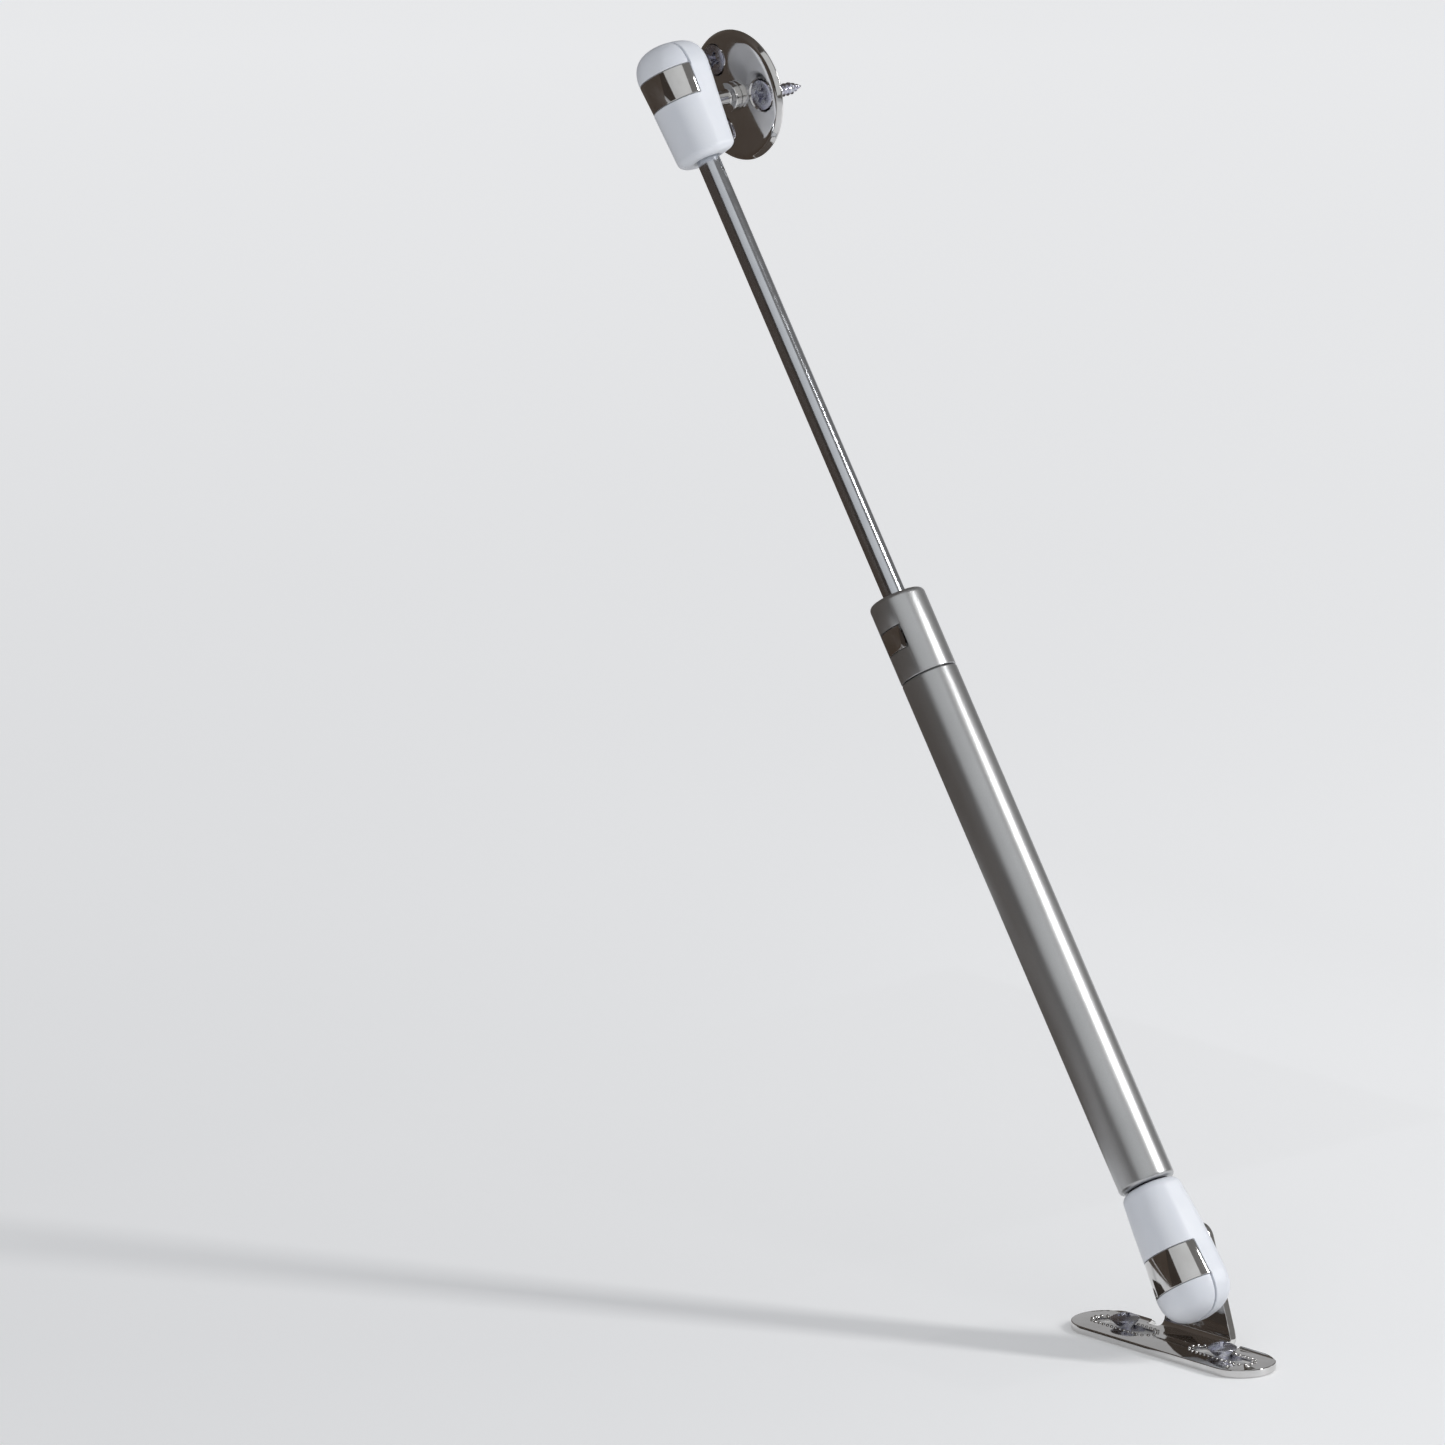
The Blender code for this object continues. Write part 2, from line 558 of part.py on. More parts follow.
def build_bracket_screws(centre, look):
    """Raised countersunk screws whose cones rest on the edges of the slots."""
    rim_low = 1.95 * MM  # above the top of the sheet
    rim_high = rim_low + SCREW_HEAD_EDGE
    head = [(0.0, rim_high + 1.1 * MM), (0.5 * SCREW_HEAD_R, rim_high + 0.9 * MM)]
    head += [(0.8 * SCREW_HEAD_R, rim_high + 0.45 * MM), (SCREW_HEAD_R, rim_high)]
    head += [(SCREW_HEAD_R, rim_low), (SCREW_SHANK_R, rim_low - SCREW_HEAD_R + SCREW_SHANK_R)]
    for number, y in enumerate((SLOT_Y, -SLOT_Y), 1):
        place = (0.0, y, SHEET - LOWER_BALL_Z)
        build_screw(f"door_bracket_screw_{number}", centre, look, head, location=place)


def bracket_base_outline():
    """Base of the bracket with a relief notch at each end of the bend, anticlockwise from the bend."""
    reach = BASE_HALF_LENGTH - BASE_HALF_WIDTH
    relief = TAB_HALF_WIDTH + RELIEF
    floor_x = BEND_X - 0.9 * MM
    points = [(BEND_X, TAB_HALF_WIDTH), (floor_x, TAB_HALF_WIDTH)]
    points += [(floor_x, relief), (BASE_HALF_WIDTH, relief)]
    points += arc((0.0, reach), BASE_HALF_WIDTH, 0, 180, 12)
    points += arc((0.0, -reach), BASE_HALF_WIDTH, 180, 360, 12)
    points += [(BASE_HALF_WIDTH, -relief), (floor_x, -relief)]
    points += [(floor_x, -TAB_HALF_WIDTH), (BEND_X, -TAB_HALF_WIDTH)]
    return points


def bracket_tab_stations():
    """(inner x, inner z, outer x, outer z, half width) of the sheet as it rounds the bend and rises."""
    stations = []
    bend_z = SHEET + BEND_INNER_R
    for step in range(1, 6):
        sine = math.sin(math.radians(18 * step))
        cosine = math.cos(math.radians(18 * step))
        inner = (BEND_X + BEND_INNER_R * sine, bend_z - BEND_INNER_R * cosine)
        outer = (BEND_X + (BEND_INNER_R + SHEET) * sine, bend_z - (BEND_INNER_R + SHEET) * cosine)
        stations.append((*inner, *outer, TAB_HALF_WIDTH))
    flanks = [(5.0 * MM, TAB_HALF_WIDTH - 0.7 * MM)]
    for degrees in range(16, 81, 16):
        height = LOWER_BALL_Z + TAB_TOP_R * math.sin(math.radians(degrees))
        flanks.append((height, TAB_TOP_R * math.cos(math.radians(degrees))))
    for height, half in flanks:
        stations.append((TAB_FACE_X, height, TAB_FACE_X + SHEET, height, half))
    return stations


def build_bracket(centre, look):
    """One sheet: the flat base, then the tab swept round the bend and up from the base's +X edge."""
    bm = bmesh.new()
    drop = -LOWER_BALL_Z
    outline = bracket_base_outline()
    below = [bm.verts.new((x, y, drop)) for x, y in outline]
    above = [bm.verts.new((x, y, drop + SHEET)) for x, y in outline]
    bm.faces.new(below)
    bm.faces.new(above)
    for i in range(1, len(outline)):
        bm.faces.new((below[i - 1], below[i], above[i], above[i - 1]))
    ring = [below[-1], below[0], above[0], above[-1]]
    for inner_x, inner_z, outer_x, outer_z, half in bracket_tab_stations():
        corners = [(outer_x, -half, outer_z), (outer_x, half, outer_z)]
        corners += [(inner_x, half, inner_z), (inner_x, -half, inner_z)]
        following = [bm.verts.new((x, y, z + drop)) for x, y, z in corners]
        for i, vert in enumerate(ring):
            bm.faces.new((ring[i - 1], vert, following[i], following[i - 1]))
        ring = following
    bm.faces.new(ring)
    bracket = finish_piece("door_bracket", bm, centre, look)

    slot = stadium(SLOT_LENGTH / 2, SLOT_WIDTH / 2, 8)
    for number, y in enumerate((SLOT_Y, -SLOT_Y), 1):
        place = (0.0, y, drop)
        cut(bracket, prism(f"slot_cutter_{number}", slot, -MM, SHEET + MM, centre, None, location=place))
    hole = arc((0.0, 0.0), SHANK_R + GAP, 0, 345, 23)
    sideways = (0.0, math.pi / 2, 0.0)
    ends = (TAB_FACE_X - MM, TAB_FACE_X + SHEET + MM)
    cut(bracket, prism("stud_hole_cutter", hole, *ends, centre, None, turn=sideways))
    back = TAB_FACE_X + SHEET
    flare = [(0.0, back - RIVET_FLARE - GAP), (SHANK_R + 0.2 * MM, back - RIVET_FLARE - GAP)]
    flare += [(SHANK_R + RIVET_FLARE + GAP + MM, back + MM - 0.2 * MM), (0.0, back + MM - 0.2 * MM)]
    cut(bracket, turned("flare_cutter", flare, centre, None, turn=sideways))


# ---------------------------------------------------------------- assembly


def main():
    clear_scene()
    looks = {
        "paint": make_look("satin_grey_paint", (0.42, 0.43, 0.44), 0.38, 0.85),
        "socket": make_look("white_socket_plastic", (0.78, 0.79, 0.80), 0.38, 0.0),
        "chrome": make_look("bright_chrome", (0.82, 0.82, 0.83), 0.08, 1.0),
        "steel": make_look("ground_steel", (0.62, 0.63, 0.65), 0.18, 1.0),
        "zinc": make_look("zinc_plate", (0.60, 0.62, 0.66), 0.30, 1.0),
        "brass": make_look("sintered_bronze", (0.55, 0.38, 0.18), 0.45, 1.0),
        "rubber": make_look("black_rubber", (0.02, 0.02, 0.02), 0.70, 0.0),
        "nylon": make_look("natural_nylon", (0.70, 0.66, 0.56), 0.50, 0.0),
    }
    lower = make_empty("lower_ball_centre", None, (0.0, 0.0, LOWER_BALL_Z))
    axis = make_empty("strut_axis", lower, (0.0, 0.0, 0.0), (-LEAN, 0.0, 0.0))
    upper = make_empty("upper_ball_centre", axis, (0.0, 0.0, BALL_TO_BALL), (LEAN, 0.0, 0.0))
    to_wall = (0.0, math.pi / 2, 0.0)
    from_wall = (0.0, -math.pi / 2, 0.0)

    build_tube(axis, looks["paint"])
    build_cap(axis, looks["paint"])
    build_cap_clip(axis, looks["chrome"])
    build_guide_stack(axis, looks)
    build_end_plug(axis, looks)
    build_piston(axis, looks)
    build_rod(axis, looks["steel"])

    thread_hole_r = ROD_THREAD_R + GAP
    rod_bore = [(0.0, UPPER_SOCKET_LOW - MM), (ROD_HOLE_R, UPPER_SOCKET_LOW - MM)]
    rod_bore += [(ROD_HOLE_R, ROD_SHOULDER + GAP), (thread_hole_r, ROD_SHOULDER + GAP)]
    rod_bore += [(thread_hole_r, ROD_HIGH + GAP), (0.0, ROD_HIGH + GAP)]
    build_socket("upper_socket", axis, looks["socket"], UPPER_SOCKET, rod_bore)
    build_socket_clip("upper_socket_clip", axis, looks["chrome"], UPPER_SOCKET)

    stud_hole_r = PLUG_STUD_R + GAP
    stud_bore = [(0.0, PLUG_STUD_LOW - GAP), (stud_hole_r, PLUG_STUD_LOW - GAP)]
    stud_bore += [(stud_hole_r, TUBE_LOW + MM), (0.0, TUBE_LOW + MM)]
    build_socket("lower_socket", axis, looks["socket"], LOWER_SOCKET, stud_bore)
    build_socket_clip("lower_socket_clip", axis, looks["chrome"], LOWER_SOCKET)

    build_upper_stud(upper, looks["chrome"], to_wall)
    build_wall_plate(upper, looks["chrome"], to_wall)
    build_plate_screws(upper, looks["zinc"], from_wall)
    build_lower_stud(lower, looks["chrome"], to_wall)
    build_bracket(lower, looks["chrome"])
    build_bracket_screws(lower, looks["zinc"])


main()
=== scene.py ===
"""Visual model of a gas strut stay for a cabinet flap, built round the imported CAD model.

Pieces are drawn in millimetres in their own axes and then placed. On the strut, local X points at the
cabinet wall, local Z runs up the strut, and the origin is the centre of the lower ball.
"""

import json
import math

import bmesh
import bpy
from mathutils import Matrix, Vector


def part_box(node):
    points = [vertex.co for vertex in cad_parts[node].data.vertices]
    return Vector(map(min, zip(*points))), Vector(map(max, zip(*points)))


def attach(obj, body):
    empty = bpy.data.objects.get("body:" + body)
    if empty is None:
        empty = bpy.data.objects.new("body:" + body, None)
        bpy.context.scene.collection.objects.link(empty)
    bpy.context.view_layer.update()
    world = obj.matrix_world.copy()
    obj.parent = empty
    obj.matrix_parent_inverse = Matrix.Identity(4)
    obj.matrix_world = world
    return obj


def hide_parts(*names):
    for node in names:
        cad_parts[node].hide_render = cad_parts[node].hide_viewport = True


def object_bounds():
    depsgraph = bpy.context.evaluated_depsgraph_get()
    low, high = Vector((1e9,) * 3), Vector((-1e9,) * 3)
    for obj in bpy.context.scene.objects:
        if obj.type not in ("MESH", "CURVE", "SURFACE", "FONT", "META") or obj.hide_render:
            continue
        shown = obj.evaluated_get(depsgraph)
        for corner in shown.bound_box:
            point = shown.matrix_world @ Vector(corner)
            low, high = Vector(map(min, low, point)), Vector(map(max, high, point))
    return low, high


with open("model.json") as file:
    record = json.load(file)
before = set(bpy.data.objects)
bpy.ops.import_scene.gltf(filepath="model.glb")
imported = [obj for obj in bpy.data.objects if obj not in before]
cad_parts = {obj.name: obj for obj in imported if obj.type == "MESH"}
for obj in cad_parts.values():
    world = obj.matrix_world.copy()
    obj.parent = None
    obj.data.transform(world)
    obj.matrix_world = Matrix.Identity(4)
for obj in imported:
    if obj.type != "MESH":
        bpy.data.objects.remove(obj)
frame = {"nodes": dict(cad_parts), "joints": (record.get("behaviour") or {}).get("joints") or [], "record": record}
CAD_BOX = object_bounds()
MM = 0.001

JOINTS = {joint["name"]: joint for joint in frame["joints"]}
LOWER_BALL = Vector(JOINTS["lower_ball_tilt"]["pos_m"])
UPPER_BALL = Vector(JOINTS["upper_ball_tilt"]["pos_m"])
ALONG = Vector(JOINTS["rod_stroke"]["axis"]).normalized()
SIDE = Vector(JOINTS["door_bracket_swing"]["axis"]).normalized()
UP = Vector((0.0, 0.0, 1.0))
QUARTER_TURN = Matrix.Rotation(math.pi / 2, 3, "Y")


def axes(x_axis, z_axis, origin):
    """A place whose local Z is z_axis and whose local X is as near x_axis as it can be."""
    z = z_axis.normalized()
    y = z.cross(x_axis).normalized()
    return Matrix.Translation(origin) @ Matrix((y.cross(z), y, z)).transposed().to_4x4()


STRUT = axes(SIDE, ALONG, LOWER_BALL)
UPPER_STUD = axes(-UP, SIDE, UPPER_BALL)
LOWER_STUD = axes(-UP, SIDE, LOWER_BALL)


def measure(node, place):
    """Lowest and highest corners of a CAD node in a place's axes, and its radius about local Z, in mm."""
    back = place.inverted()
    points = [(back @ vert.co) / MM for vert in frame["nodes"][node].data.vertices]
    low = Vector([min(point[i] for point in points) for i in range(3)])
    high = Vector([max(point[i] for point in points) for i in range(3)])
    return low, high, max(math.hypot(point.x, point.y) for point in points)


# ---------------------------------------------------------------- outlines


def arc(centre, radius, start, end, steps):
    points = []
    for step in range(steps + 1):
        angle = math.radians(start + (end - start) * step / steps)
        points.append((centre[0] + radius * math.cos(angle), centre[1] + radius * math.sin(angle)))
    return points


def rounded(corners, closed=False, steps=5):
    """Replaces each corner (x, y, radius) of a line by an arc; a radius of 0 keeps the corner sharp."""
    points = []
    for i, (x, y, radius) in enumerate(corners):
        if radius == 0 or (not closed and i in (0, len(corners) - 1)):
            points.append((x, y))
            continue
        here = Vector((x, y))
        before = Vector(corners[i - 1][:2]) - here
        after = Vector(corners[(i + 1) % len(corners)][:2]) - here
        half = before.angle(after) / 2
        reach = min(radius / math.tan(half), 0.49 * before.length, 0.49 * after.length)
        centre = here + (before.normalized() + after.normalized()).normalized() * reach / math.cos(half)
        first = here + before.normalized() * reach - centre
        last = here + after.normalized() * reach - centre
        start = math.atan2(first.y, first.x)
        sweep = (math.atan2(last.y, last.x) - start + math.pi) % math.tau - math.pi
        ends = (math.degrees(start), math.degrees(start + sweep))
        points += arc(centre, first.length, *ends, steps)
    return points


def inset(points, distance):
    """Moves a closed anticlockwise outline inwards, or a clockwise one outwards, by a distance."""
    moved = []
    for i, point in enumerate(points):
        here = Vector(point)
        before = (here - Vector(points[i - 1])).normalized()
        after = (Vector(points[(i + 1) % len(points)]) - here).normalized()
        along = (before + after).normalized()
        share = distance / max(along.dot(after), 0.5)
        moved.append((here.x - along.y * share, here.y + along.x * share))
    return moved


def circle(radius, height, steps):
    return [(x, y, height) for x, y in arc((0.0, 0.0), radius, 0, 360 - 360 / steps, steps - 1)]


# ---------------------------------------------------------------- meshes


def skin(rings, closed=False):
    """Joins rings of (x, y, z) points; a ring of one point is a pole, and flat caps close other ends."""
    bm = bmesh.new()
    rows = [[bm.verts.new(point) for point in ring] for ring in rings]
    pairs = list(zip(rows, rows[1:]))
    if closed:
        pairs.append((rows[-1], rows[0]))
    for below, above in pairs:
        for i in range(max(len(below), len(above))):
            last = i - 1
            corners = [below[last % len(below)], below[i % len(below)]]
            corners += [above[i % len(above)], above[last % len(above)]]
            bm.faces.new(list(dict.fromkeys(corners)))
    if not closed:
        for row in (rows[0], rows[-1]):
            if len(row) > 2:
                bm.faces.new(row)
    return bm


def lathe(outline, closed=False, steps=128):
    """Revolves (radius, height) points about local Z."""
    rings = []
    for radius, height in outline:
        rings.append(circle(radius, height, steps) if radius > 0 else [(0.0, 0.0, height)])
    return skin(rings, closed)


def to_object(name, bm, place, sharp=30.0):
    bmesh.ops.recalc_face_normals(bm, faces=bm.faces)
    bmesh.ops.scale(bm, vec=(MM, MM, MM), verts=bm.verts)
    mesh = bpy.data.meshes.new(name)
    bm.to_mesh(mesh)
    bm.free()
    mesh.shade_smooth()
    mesh.set_sharp_from_angle(angle=math.radians(sharp))
    piece = bpy.data.objects.new(name, mesh)
    bpy.context.scene.collection.objects.link(piece)
    piece.matrix_world = place
    return piece


def apply_modifiers(piece, sharp=30.0):
    bpy.context.view_layer.update()
    shaped = piece.evaluated_get(bpy.context.evaluated_depsgraph_get())
    mesh = bpy.data.meshes.new_from_object(shaped)
    piece.modifiers.clear()
    piece.data = mesh
    mesh.shade_smooth()
    mesh.set_sharp_from_angle(angle=math.radians(sharp))


def combine(piece, other, operation="DIFFERENCE"):
    """Cuts another object out of a piece, or adds it to the piece, and removes that object."""
    boolean = piece.modifiers.new("cut", "BOOLEAN")
    boolean.operation = operation
    boolean.solver = "EXACT"
    boolean.object = other
    apply_modifiers(piece)
    bpy.data.objects.remove(other)


def carve(piece, cutters, operation="DIFFERENCE"):
    """Cuts meshes, given in the piece's own axes, out of a piece, or adds them to it."""
    for number, bm in enumerate(cutters):
        combine(piece, to_object(f"{piece.name}_cutter_{number}", bm, piece.matrix_world), operation)


def soften_edges(piece, width, angle=40.0, segments=2):
    bevel = piece.modifiers.new("edges", "BEVEL")
    bevel.width = width * MM
    bevel.segments = segments
    bevel.limit_method = "ANGLE"
    bevel.angle_limit = math.radians(angle)
    apply_modifiers(piece)


def mould(piece, voxel, passes):
    """Remeshes a cut solid finely and relaxes it, which rounds its edges as a mould does."""
    remesh = piece.modifiers.new("remesh", "REMESH")
    remesh.mode = "VOXEL"
    remesh.voxel_size = voxel * MM
    smooth = piece.modifiers.new("relax", "SMOOTH")
    smooth.factor = 0.5
    smooth.iterations = passes
    apply_modifiers(piece, sharp=180.0)


def dress(piece, look, slot, body, *nodes):
    """Gives a piece its material, sets it on a CAD body and lets it stand for CAD nodes, which it hides; the slot
    argument is not used.
    """
    piece.data.materials.clear()
    piece.data.materials.append(look)
    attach(piece, body)
    if nodes:
        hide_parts(*nodes)


# ---------------------------------------------------------------- materials


# places of a Mix node's colour sockets, which share their names with its number and vector sockets
COLOUR_A, COLOUR_B, COLOUR_RESULT = 6, 7, 2


def new_look(name, metallic):
    look = bpy.data.materials.new(name)
    look.use_nodes = True
    look.node_tree.nodes["Principled BSDF"].inputs["Metallic"].default_value = metallic
    return look


def add_node(look, kind, inputs, **settings):
    """Adds a node; each input is a number, a tuple or another node's output."""
    node = look.node_tree.nodes.new(kind)
    for key, value in settings.items():
        setattr(node, key, value)
    for key, value in inputs.items():
        if isinstance(value, bpy.types.NodeSocket):
            look.node_tree.links.new(value, node.inputs[key])
        else:
            node.inputs[key].default_value = value
    return node


def feed(look, key, source):
    look.node_tree.links.new(source, look.node_tree.nodes["Principled BSDF"].inputs[key])


def noise(look, size, detail=2.0, stretch=(1.0, 1.0, 1.0)):
    """Noise with features of about a size in mm, in the piece's own axes, longer along stretched axes."""
    place = add_node(look, "ShaderNodeTexCoord", {})
    scaled = add_node(look, "ShaderNodeMapping", {"Vector": place.outputs["Object"]})
    scaled.inputs["Scale"].default_value = [1.0 / value for value in stretch]
    inputs = {"Vector": scaled.outputs["Vector"], "Scale": 1.0 / (size * MM), "Detail": detail}
    return add_node(look, "ShaderNodeTexNoise", inputs).outputs["Fac"]


def spread(look, source, low, high, start=0.3, end=0.7):
    inputs = {"Value": source, "From Min": start, "From Max": end, "To Min": low, "To Max": high}
    return add_node(look, "ShaderNodeMapRange", inputs).outputs["Result"]


def blend_colours(look, factor, first, second):
    node = add_node(look, "ShaderNodeMix", {}, data_type="RGBA")
    look.node_tree.links.new(factor, node.inputs["Factor"])
    for socket, value in zip(node.inputs[COLOUR_A : COLOUR_B + 1], (first, second)):
        if isinstance(value, bpy.types.NodeSocket):
            look.node_tree.links.new(value, socket)
        else:
            socket.default_value = (*value, 1.0)
    return node.outputs[COLOUR_RESULT]


def bump(look, layers):
    """Stacks bump layers of (height source, depth in mm)."""
    normal = None
    for source, depth in layers:
        inputs = {"Height": source, "Distance": depth * MM, "Strength": 1.0}
        if normal:
            inputs["Normal"] = normal
        normal = add_node(look, "ShaderNodeBump", inputs).outputs["Normal"]
    feed(look, "Normal", normal)


def paint_look():
    """Satin silver paint: fine flake, a little orange peel and faint rub marks."""
    look = new_look("satin_silver_paint", 0.92)
    cloud = spread(look, noise(look, 22.0, 3.0), 0.0, 1.0)
    flake = spread(look, noise(look, 0.12, 1.0), 0.0, 1.0, 0.35, 0.65)
    base = blend_colours(look, cloud, (0.50, 0.505, 0.51), (0.55, 0.555, 0.56))
    shade = blend_colours(look, flake, (0.90, 0.90, 0.90), (1.0, 1.0, 1.0))
    mixed = add_node(look, "ShaderNodeMix", {}, data_type="RGBA", blend_type="MULTIPLY")
    mixed.inputs["Factor"].default_value = 1.0
    look.node_tree.links.new(base, mixed.inputs[COLOUR_A])
    look.node_tree.links.new(shade, mixed.inputs[COLOUR_B])
    feed(look, "Base Color", mixed.outputs[COLOUR_RESULT])
    rubbed = noise(look, 1.6, 4.0, (1.0, 1.0, 14.0))
    feed(look, "Roughness", spread(look, rubbed, 0.30, 0.37))
    peel = noise(look, 0.9, 1.0)
    grain = noise(look, 0.15, 0.0)
    bump(look, [(peel, 0.004), (grain, 0.0016)])
    return look


def plastic_look():
    """Bluish-white moulded acetal with a fine spark-eroded grain."""
    look = new_look("white_acetal", 0.0)
    shader = look.node_tree.nodes["Principled BSDF"]
    shader.inputs["IOR"].default_value = 1.48
    shader.inputs["Subsurface Weight"].default_value = 0.12
    shader.inputs["Subsurface Radius"].default_value = (1.0, 1.0, 1.1)
    shader.inputs["Subsurface Scale"].default_value = 0.7 * MM
    flow = spread(look, noise(look, 9.0, 3.0, (1.0, 1.0, 2.5)), 0.0, 1.0)
    feed(look, "Base Color", blend_colours(look, flow, (0.68, 0.70, 0.745), (0.73, 0.745, 0.78)))
    feed(look, "Roughness", spread(look, noise(look, 1.2, 4.0), 0.34, 0.44))
    bump(look, [(noise(look, 1.4, 1.0), 0.006), (noise(look, 0.16, 1.0), 0.003)])
    return look


def plated_look(name, dark, light, roughness, along_grain=(1.0, 1.0, 1.0), depth=0.0006):
    """Plated metal with soft smears and hairline polishing marks."""
    look = new_look(name, 1.0)
    smear = noise(look, 5.0, 5.0)
    feed(look, "Base Color", blend_colours(look, spread(look, smear, 0.0, 1.0), dark, light))
    hair = noise(look, 0.10, 2.0, along_grain)
    feed(look, "Roughness", spread(look, noise(look, 2.2, 6.0), *roughness))
    bump(look, [(hair, depth), (noise(look, 3.5, 1.0), 0.004)])
    return look


def zinc_look():
    """Clear passivated zinc: steel grey with blue and violet bloom."""
    look = new_look("passivated_zinc", 1.0)
    bloom = spread(look, noise(look, 1.8, 3.0), 0.0, 1.0, 0.35, 0.65)
    tint = blend_colours(look, bloom, (0.46, 0.46, 0.56), (0.60, 0.61, 0.64))
    warm = spread(look, noise(look, 4.0, 2.0), 0.0, 0.6, 0.5, 0.8)
    feed(look, "Base Color", blend_colours(look, warm, tint, (0.54, 0.51, 0.56)))
    feed(look, "Roughness", spread(look, noise(look, 0.8, 4.0), 0.18, 0.32))
    bump(look, [(noise(look, 0.5, 2.0), 0.006)])
    return look


def grainy_look(name, metallic, dark, light, roughness, size, depth):
    """A plain industrial surface: two shades, uneven roughness and a pitted or matt grain."""
    look = new_look(name, metallic)
    patch = spread(look, noise(look, size, 4.0), 0.0, 1.0)
    feed(look, "Base Color", blend_colours(look, patch, dark, light))
    feed(look, "Roughness", spread(look, noise(look, 2 * size, 3.0), *roughness))
    bump(look, [(noise(look, 0.5 * size, 3.0), depth)])
    return look


LOOKS = {
    "tube_paint": paint_look(),
    "socket_plastic": plastic_look(),
    "chrome": plated_look("bright_chrome", (0.62, 0.61, 0.60), (0.69, 0.685, 0.68), (0.05, 0.11)),
    "ground_steel": plated_look(
        "ground_steel", (0.56, 0.58, 0.62), (0.61, 0.63, 0.66), (0.12, 0.19), (9.0, 9.0, 0.6), 0.0012
    ),
    "zinc_steel": zinc_look(),
    "sintered_bronze": grainy_look(
        "sintered_bronze", 1.0, (0.40, 0.26, 0.12), (0.60, 0.42, 0.20), (0.38, 0.55), 0.5, 0.02
    ),
    "seal_rubber": grainy_look(
        "seal_rubber", 0.0, (0.012, 0.012, 0.013), (0.03, 0.03, 0.032), (0.55, 0.75), 1.5, 0.01
    ),
    "piston_nylon": grainy_look(
        "piston_nylon", 0.0, (0.62, 0.58, 0.48), (0.72, 0.68, 0.58), (0.40, 0.52), 2.0, 0.01
    ),
}


# ---------------------------------------------------------------- tube, cap and rod


SHEET = 1.0
TUBE_MOUTH = 5.4
NECK_INSET = 1.3
NECK_MOUTH = 4.2
BEAD_HEIGHT = 171.75
BEAD_HALF = 1.2
BEAD_DEPTH = 0.9
BEAD_FLANK = 0.7
BEAD_FLANK_INSIDE = 1.0
CAP_TOP_SHEET = 2.4
CAP_MOUTH = 3.3
WINDOW_HALF_WIDTH = 4.3
WINDOW_HALF_HEIGHT = 3.2
ROD_END_HEIGHT = 159.0
ROD_SHOULDER_HEIGHT = 308.0
ROD_SPIGOT = 2.45
PISTON_SPIGOT = 2.0
RIVET_RADIUS = 2.9
RIVET_LENGTH = 1.2


def build_tube():
    """One sheet with a rolled lower end, a shoulder under the cap, and a bead that holds the rod guide."""
    low, high, radius = measure("pressure_tube", STRUT)
    shoulder = measure("tube_cap", STRUT)[0].z - 0.3
    neck = radius - NECK_INSET
    groove = neck - BEAD_DEPTH
    under, over = BEAD_HEIGHT - BEAD_HALF, BEAD_HEIGHT + BEAD_HALF
    corners = [(TUBE_MOUTH, low.z, 0.3), (radius, low.z, 1.4), (radius, shoulder, 0.3)]
    corners += [(neck, shoulder, 0.2), (neck, under - BEAD_FLANK, 0.4), (groove, under, 0.4)]
    corners += [(groove, over, 0.4), (neck, over + BEAD_FLANK, 0.4), (neck, high.z, 0.6)]
    corners += [(NECK_MOUTH, high.z, 0.1), (NECK_MOUTH, high.z - SHEET, 0.1)]
    corners += [(neck - SHEET, high.z - SHEET, 0.1), (neck - SHEET, over + BEAD_FLANK_INSIDE, 0.1)]
    corners += [(groove - SHEET, over, 0.1), (groove - SHEET, under, 0.1)]
    corners += [(neck - SHEET, under - BEAD_FLANK_INSIDE, 0.1), (neck - SHEET, shoulder + 0.3, 0.1)]
    corners += [(radius - SHEET, shoulder - SHEET, 0.1), (radius - SHEET, low.z + SHEET, 0.4)]
    corners += [(TUBE_MOUTH, low.z + SHEET, 0.1)]
    tube = to_object("tube", lathe(rounded(corners, closed=True), closed=True, steps=160), STRUT)
    dress(tube, LOOKS["tube_paint"], "tube_paint", "cylinder", "pressure_tube")


def build_cap():
    low, high, radius = measure("tube_cap", STRUT)
    bore = radius - SHEET
    ceiling = high.z - CAP_TOP_SHEET
    corners = [(bore, low.z, 0.25), (radius, low.z, 0.25), (radius, high.z, 1.5)]
    corners += [(CAP_MOUTH, high.z, 0.4), (CAP_MOUTH, ceiling, 0.2), (bore, ceiling, 0.2)]
    cap = to_object("cap", lathe(rounded(corners, closed=True), closed=True, steps=160), STRUT)
    outside, inside = -20.0, -3.0
    near, far = -WINDOW_HALF_WIDTH, WINDOW_HALF_WIDTH
    window = [(outside, near), (inside, near), (inside, far), (outside, far)]
    ends = (BEAD_HEIGHT - WINDOW_HALF_HEIGHT, BEAD_HEIGHT + WINDOW_HALF_HEIGHT)
    carve(cap, [skin([[(x, y, end) for x, y in window] for end in ends])])
    soften_edges(cap, 0.12, 50.0)
    dress(cap, LOOKS["tube_paint"], "tube_paint", "cylinder", "tube_cap")


def band_section(half_height, thickness, edge, shrink):
    """A rounded rectangle of (inward depth, height) points, made smaller by shrink."""
    half = half_height - shrink
    near, far = shrink, thickness - shrink
    edge = min(edge, 0.9 * half, 0.45 * (far - near))
    corners = [(near, -half, edge), (far, -half, edge), (far, half, edge), (near, half, edge)]
    return rounded(corners, closed=True, steps=3)


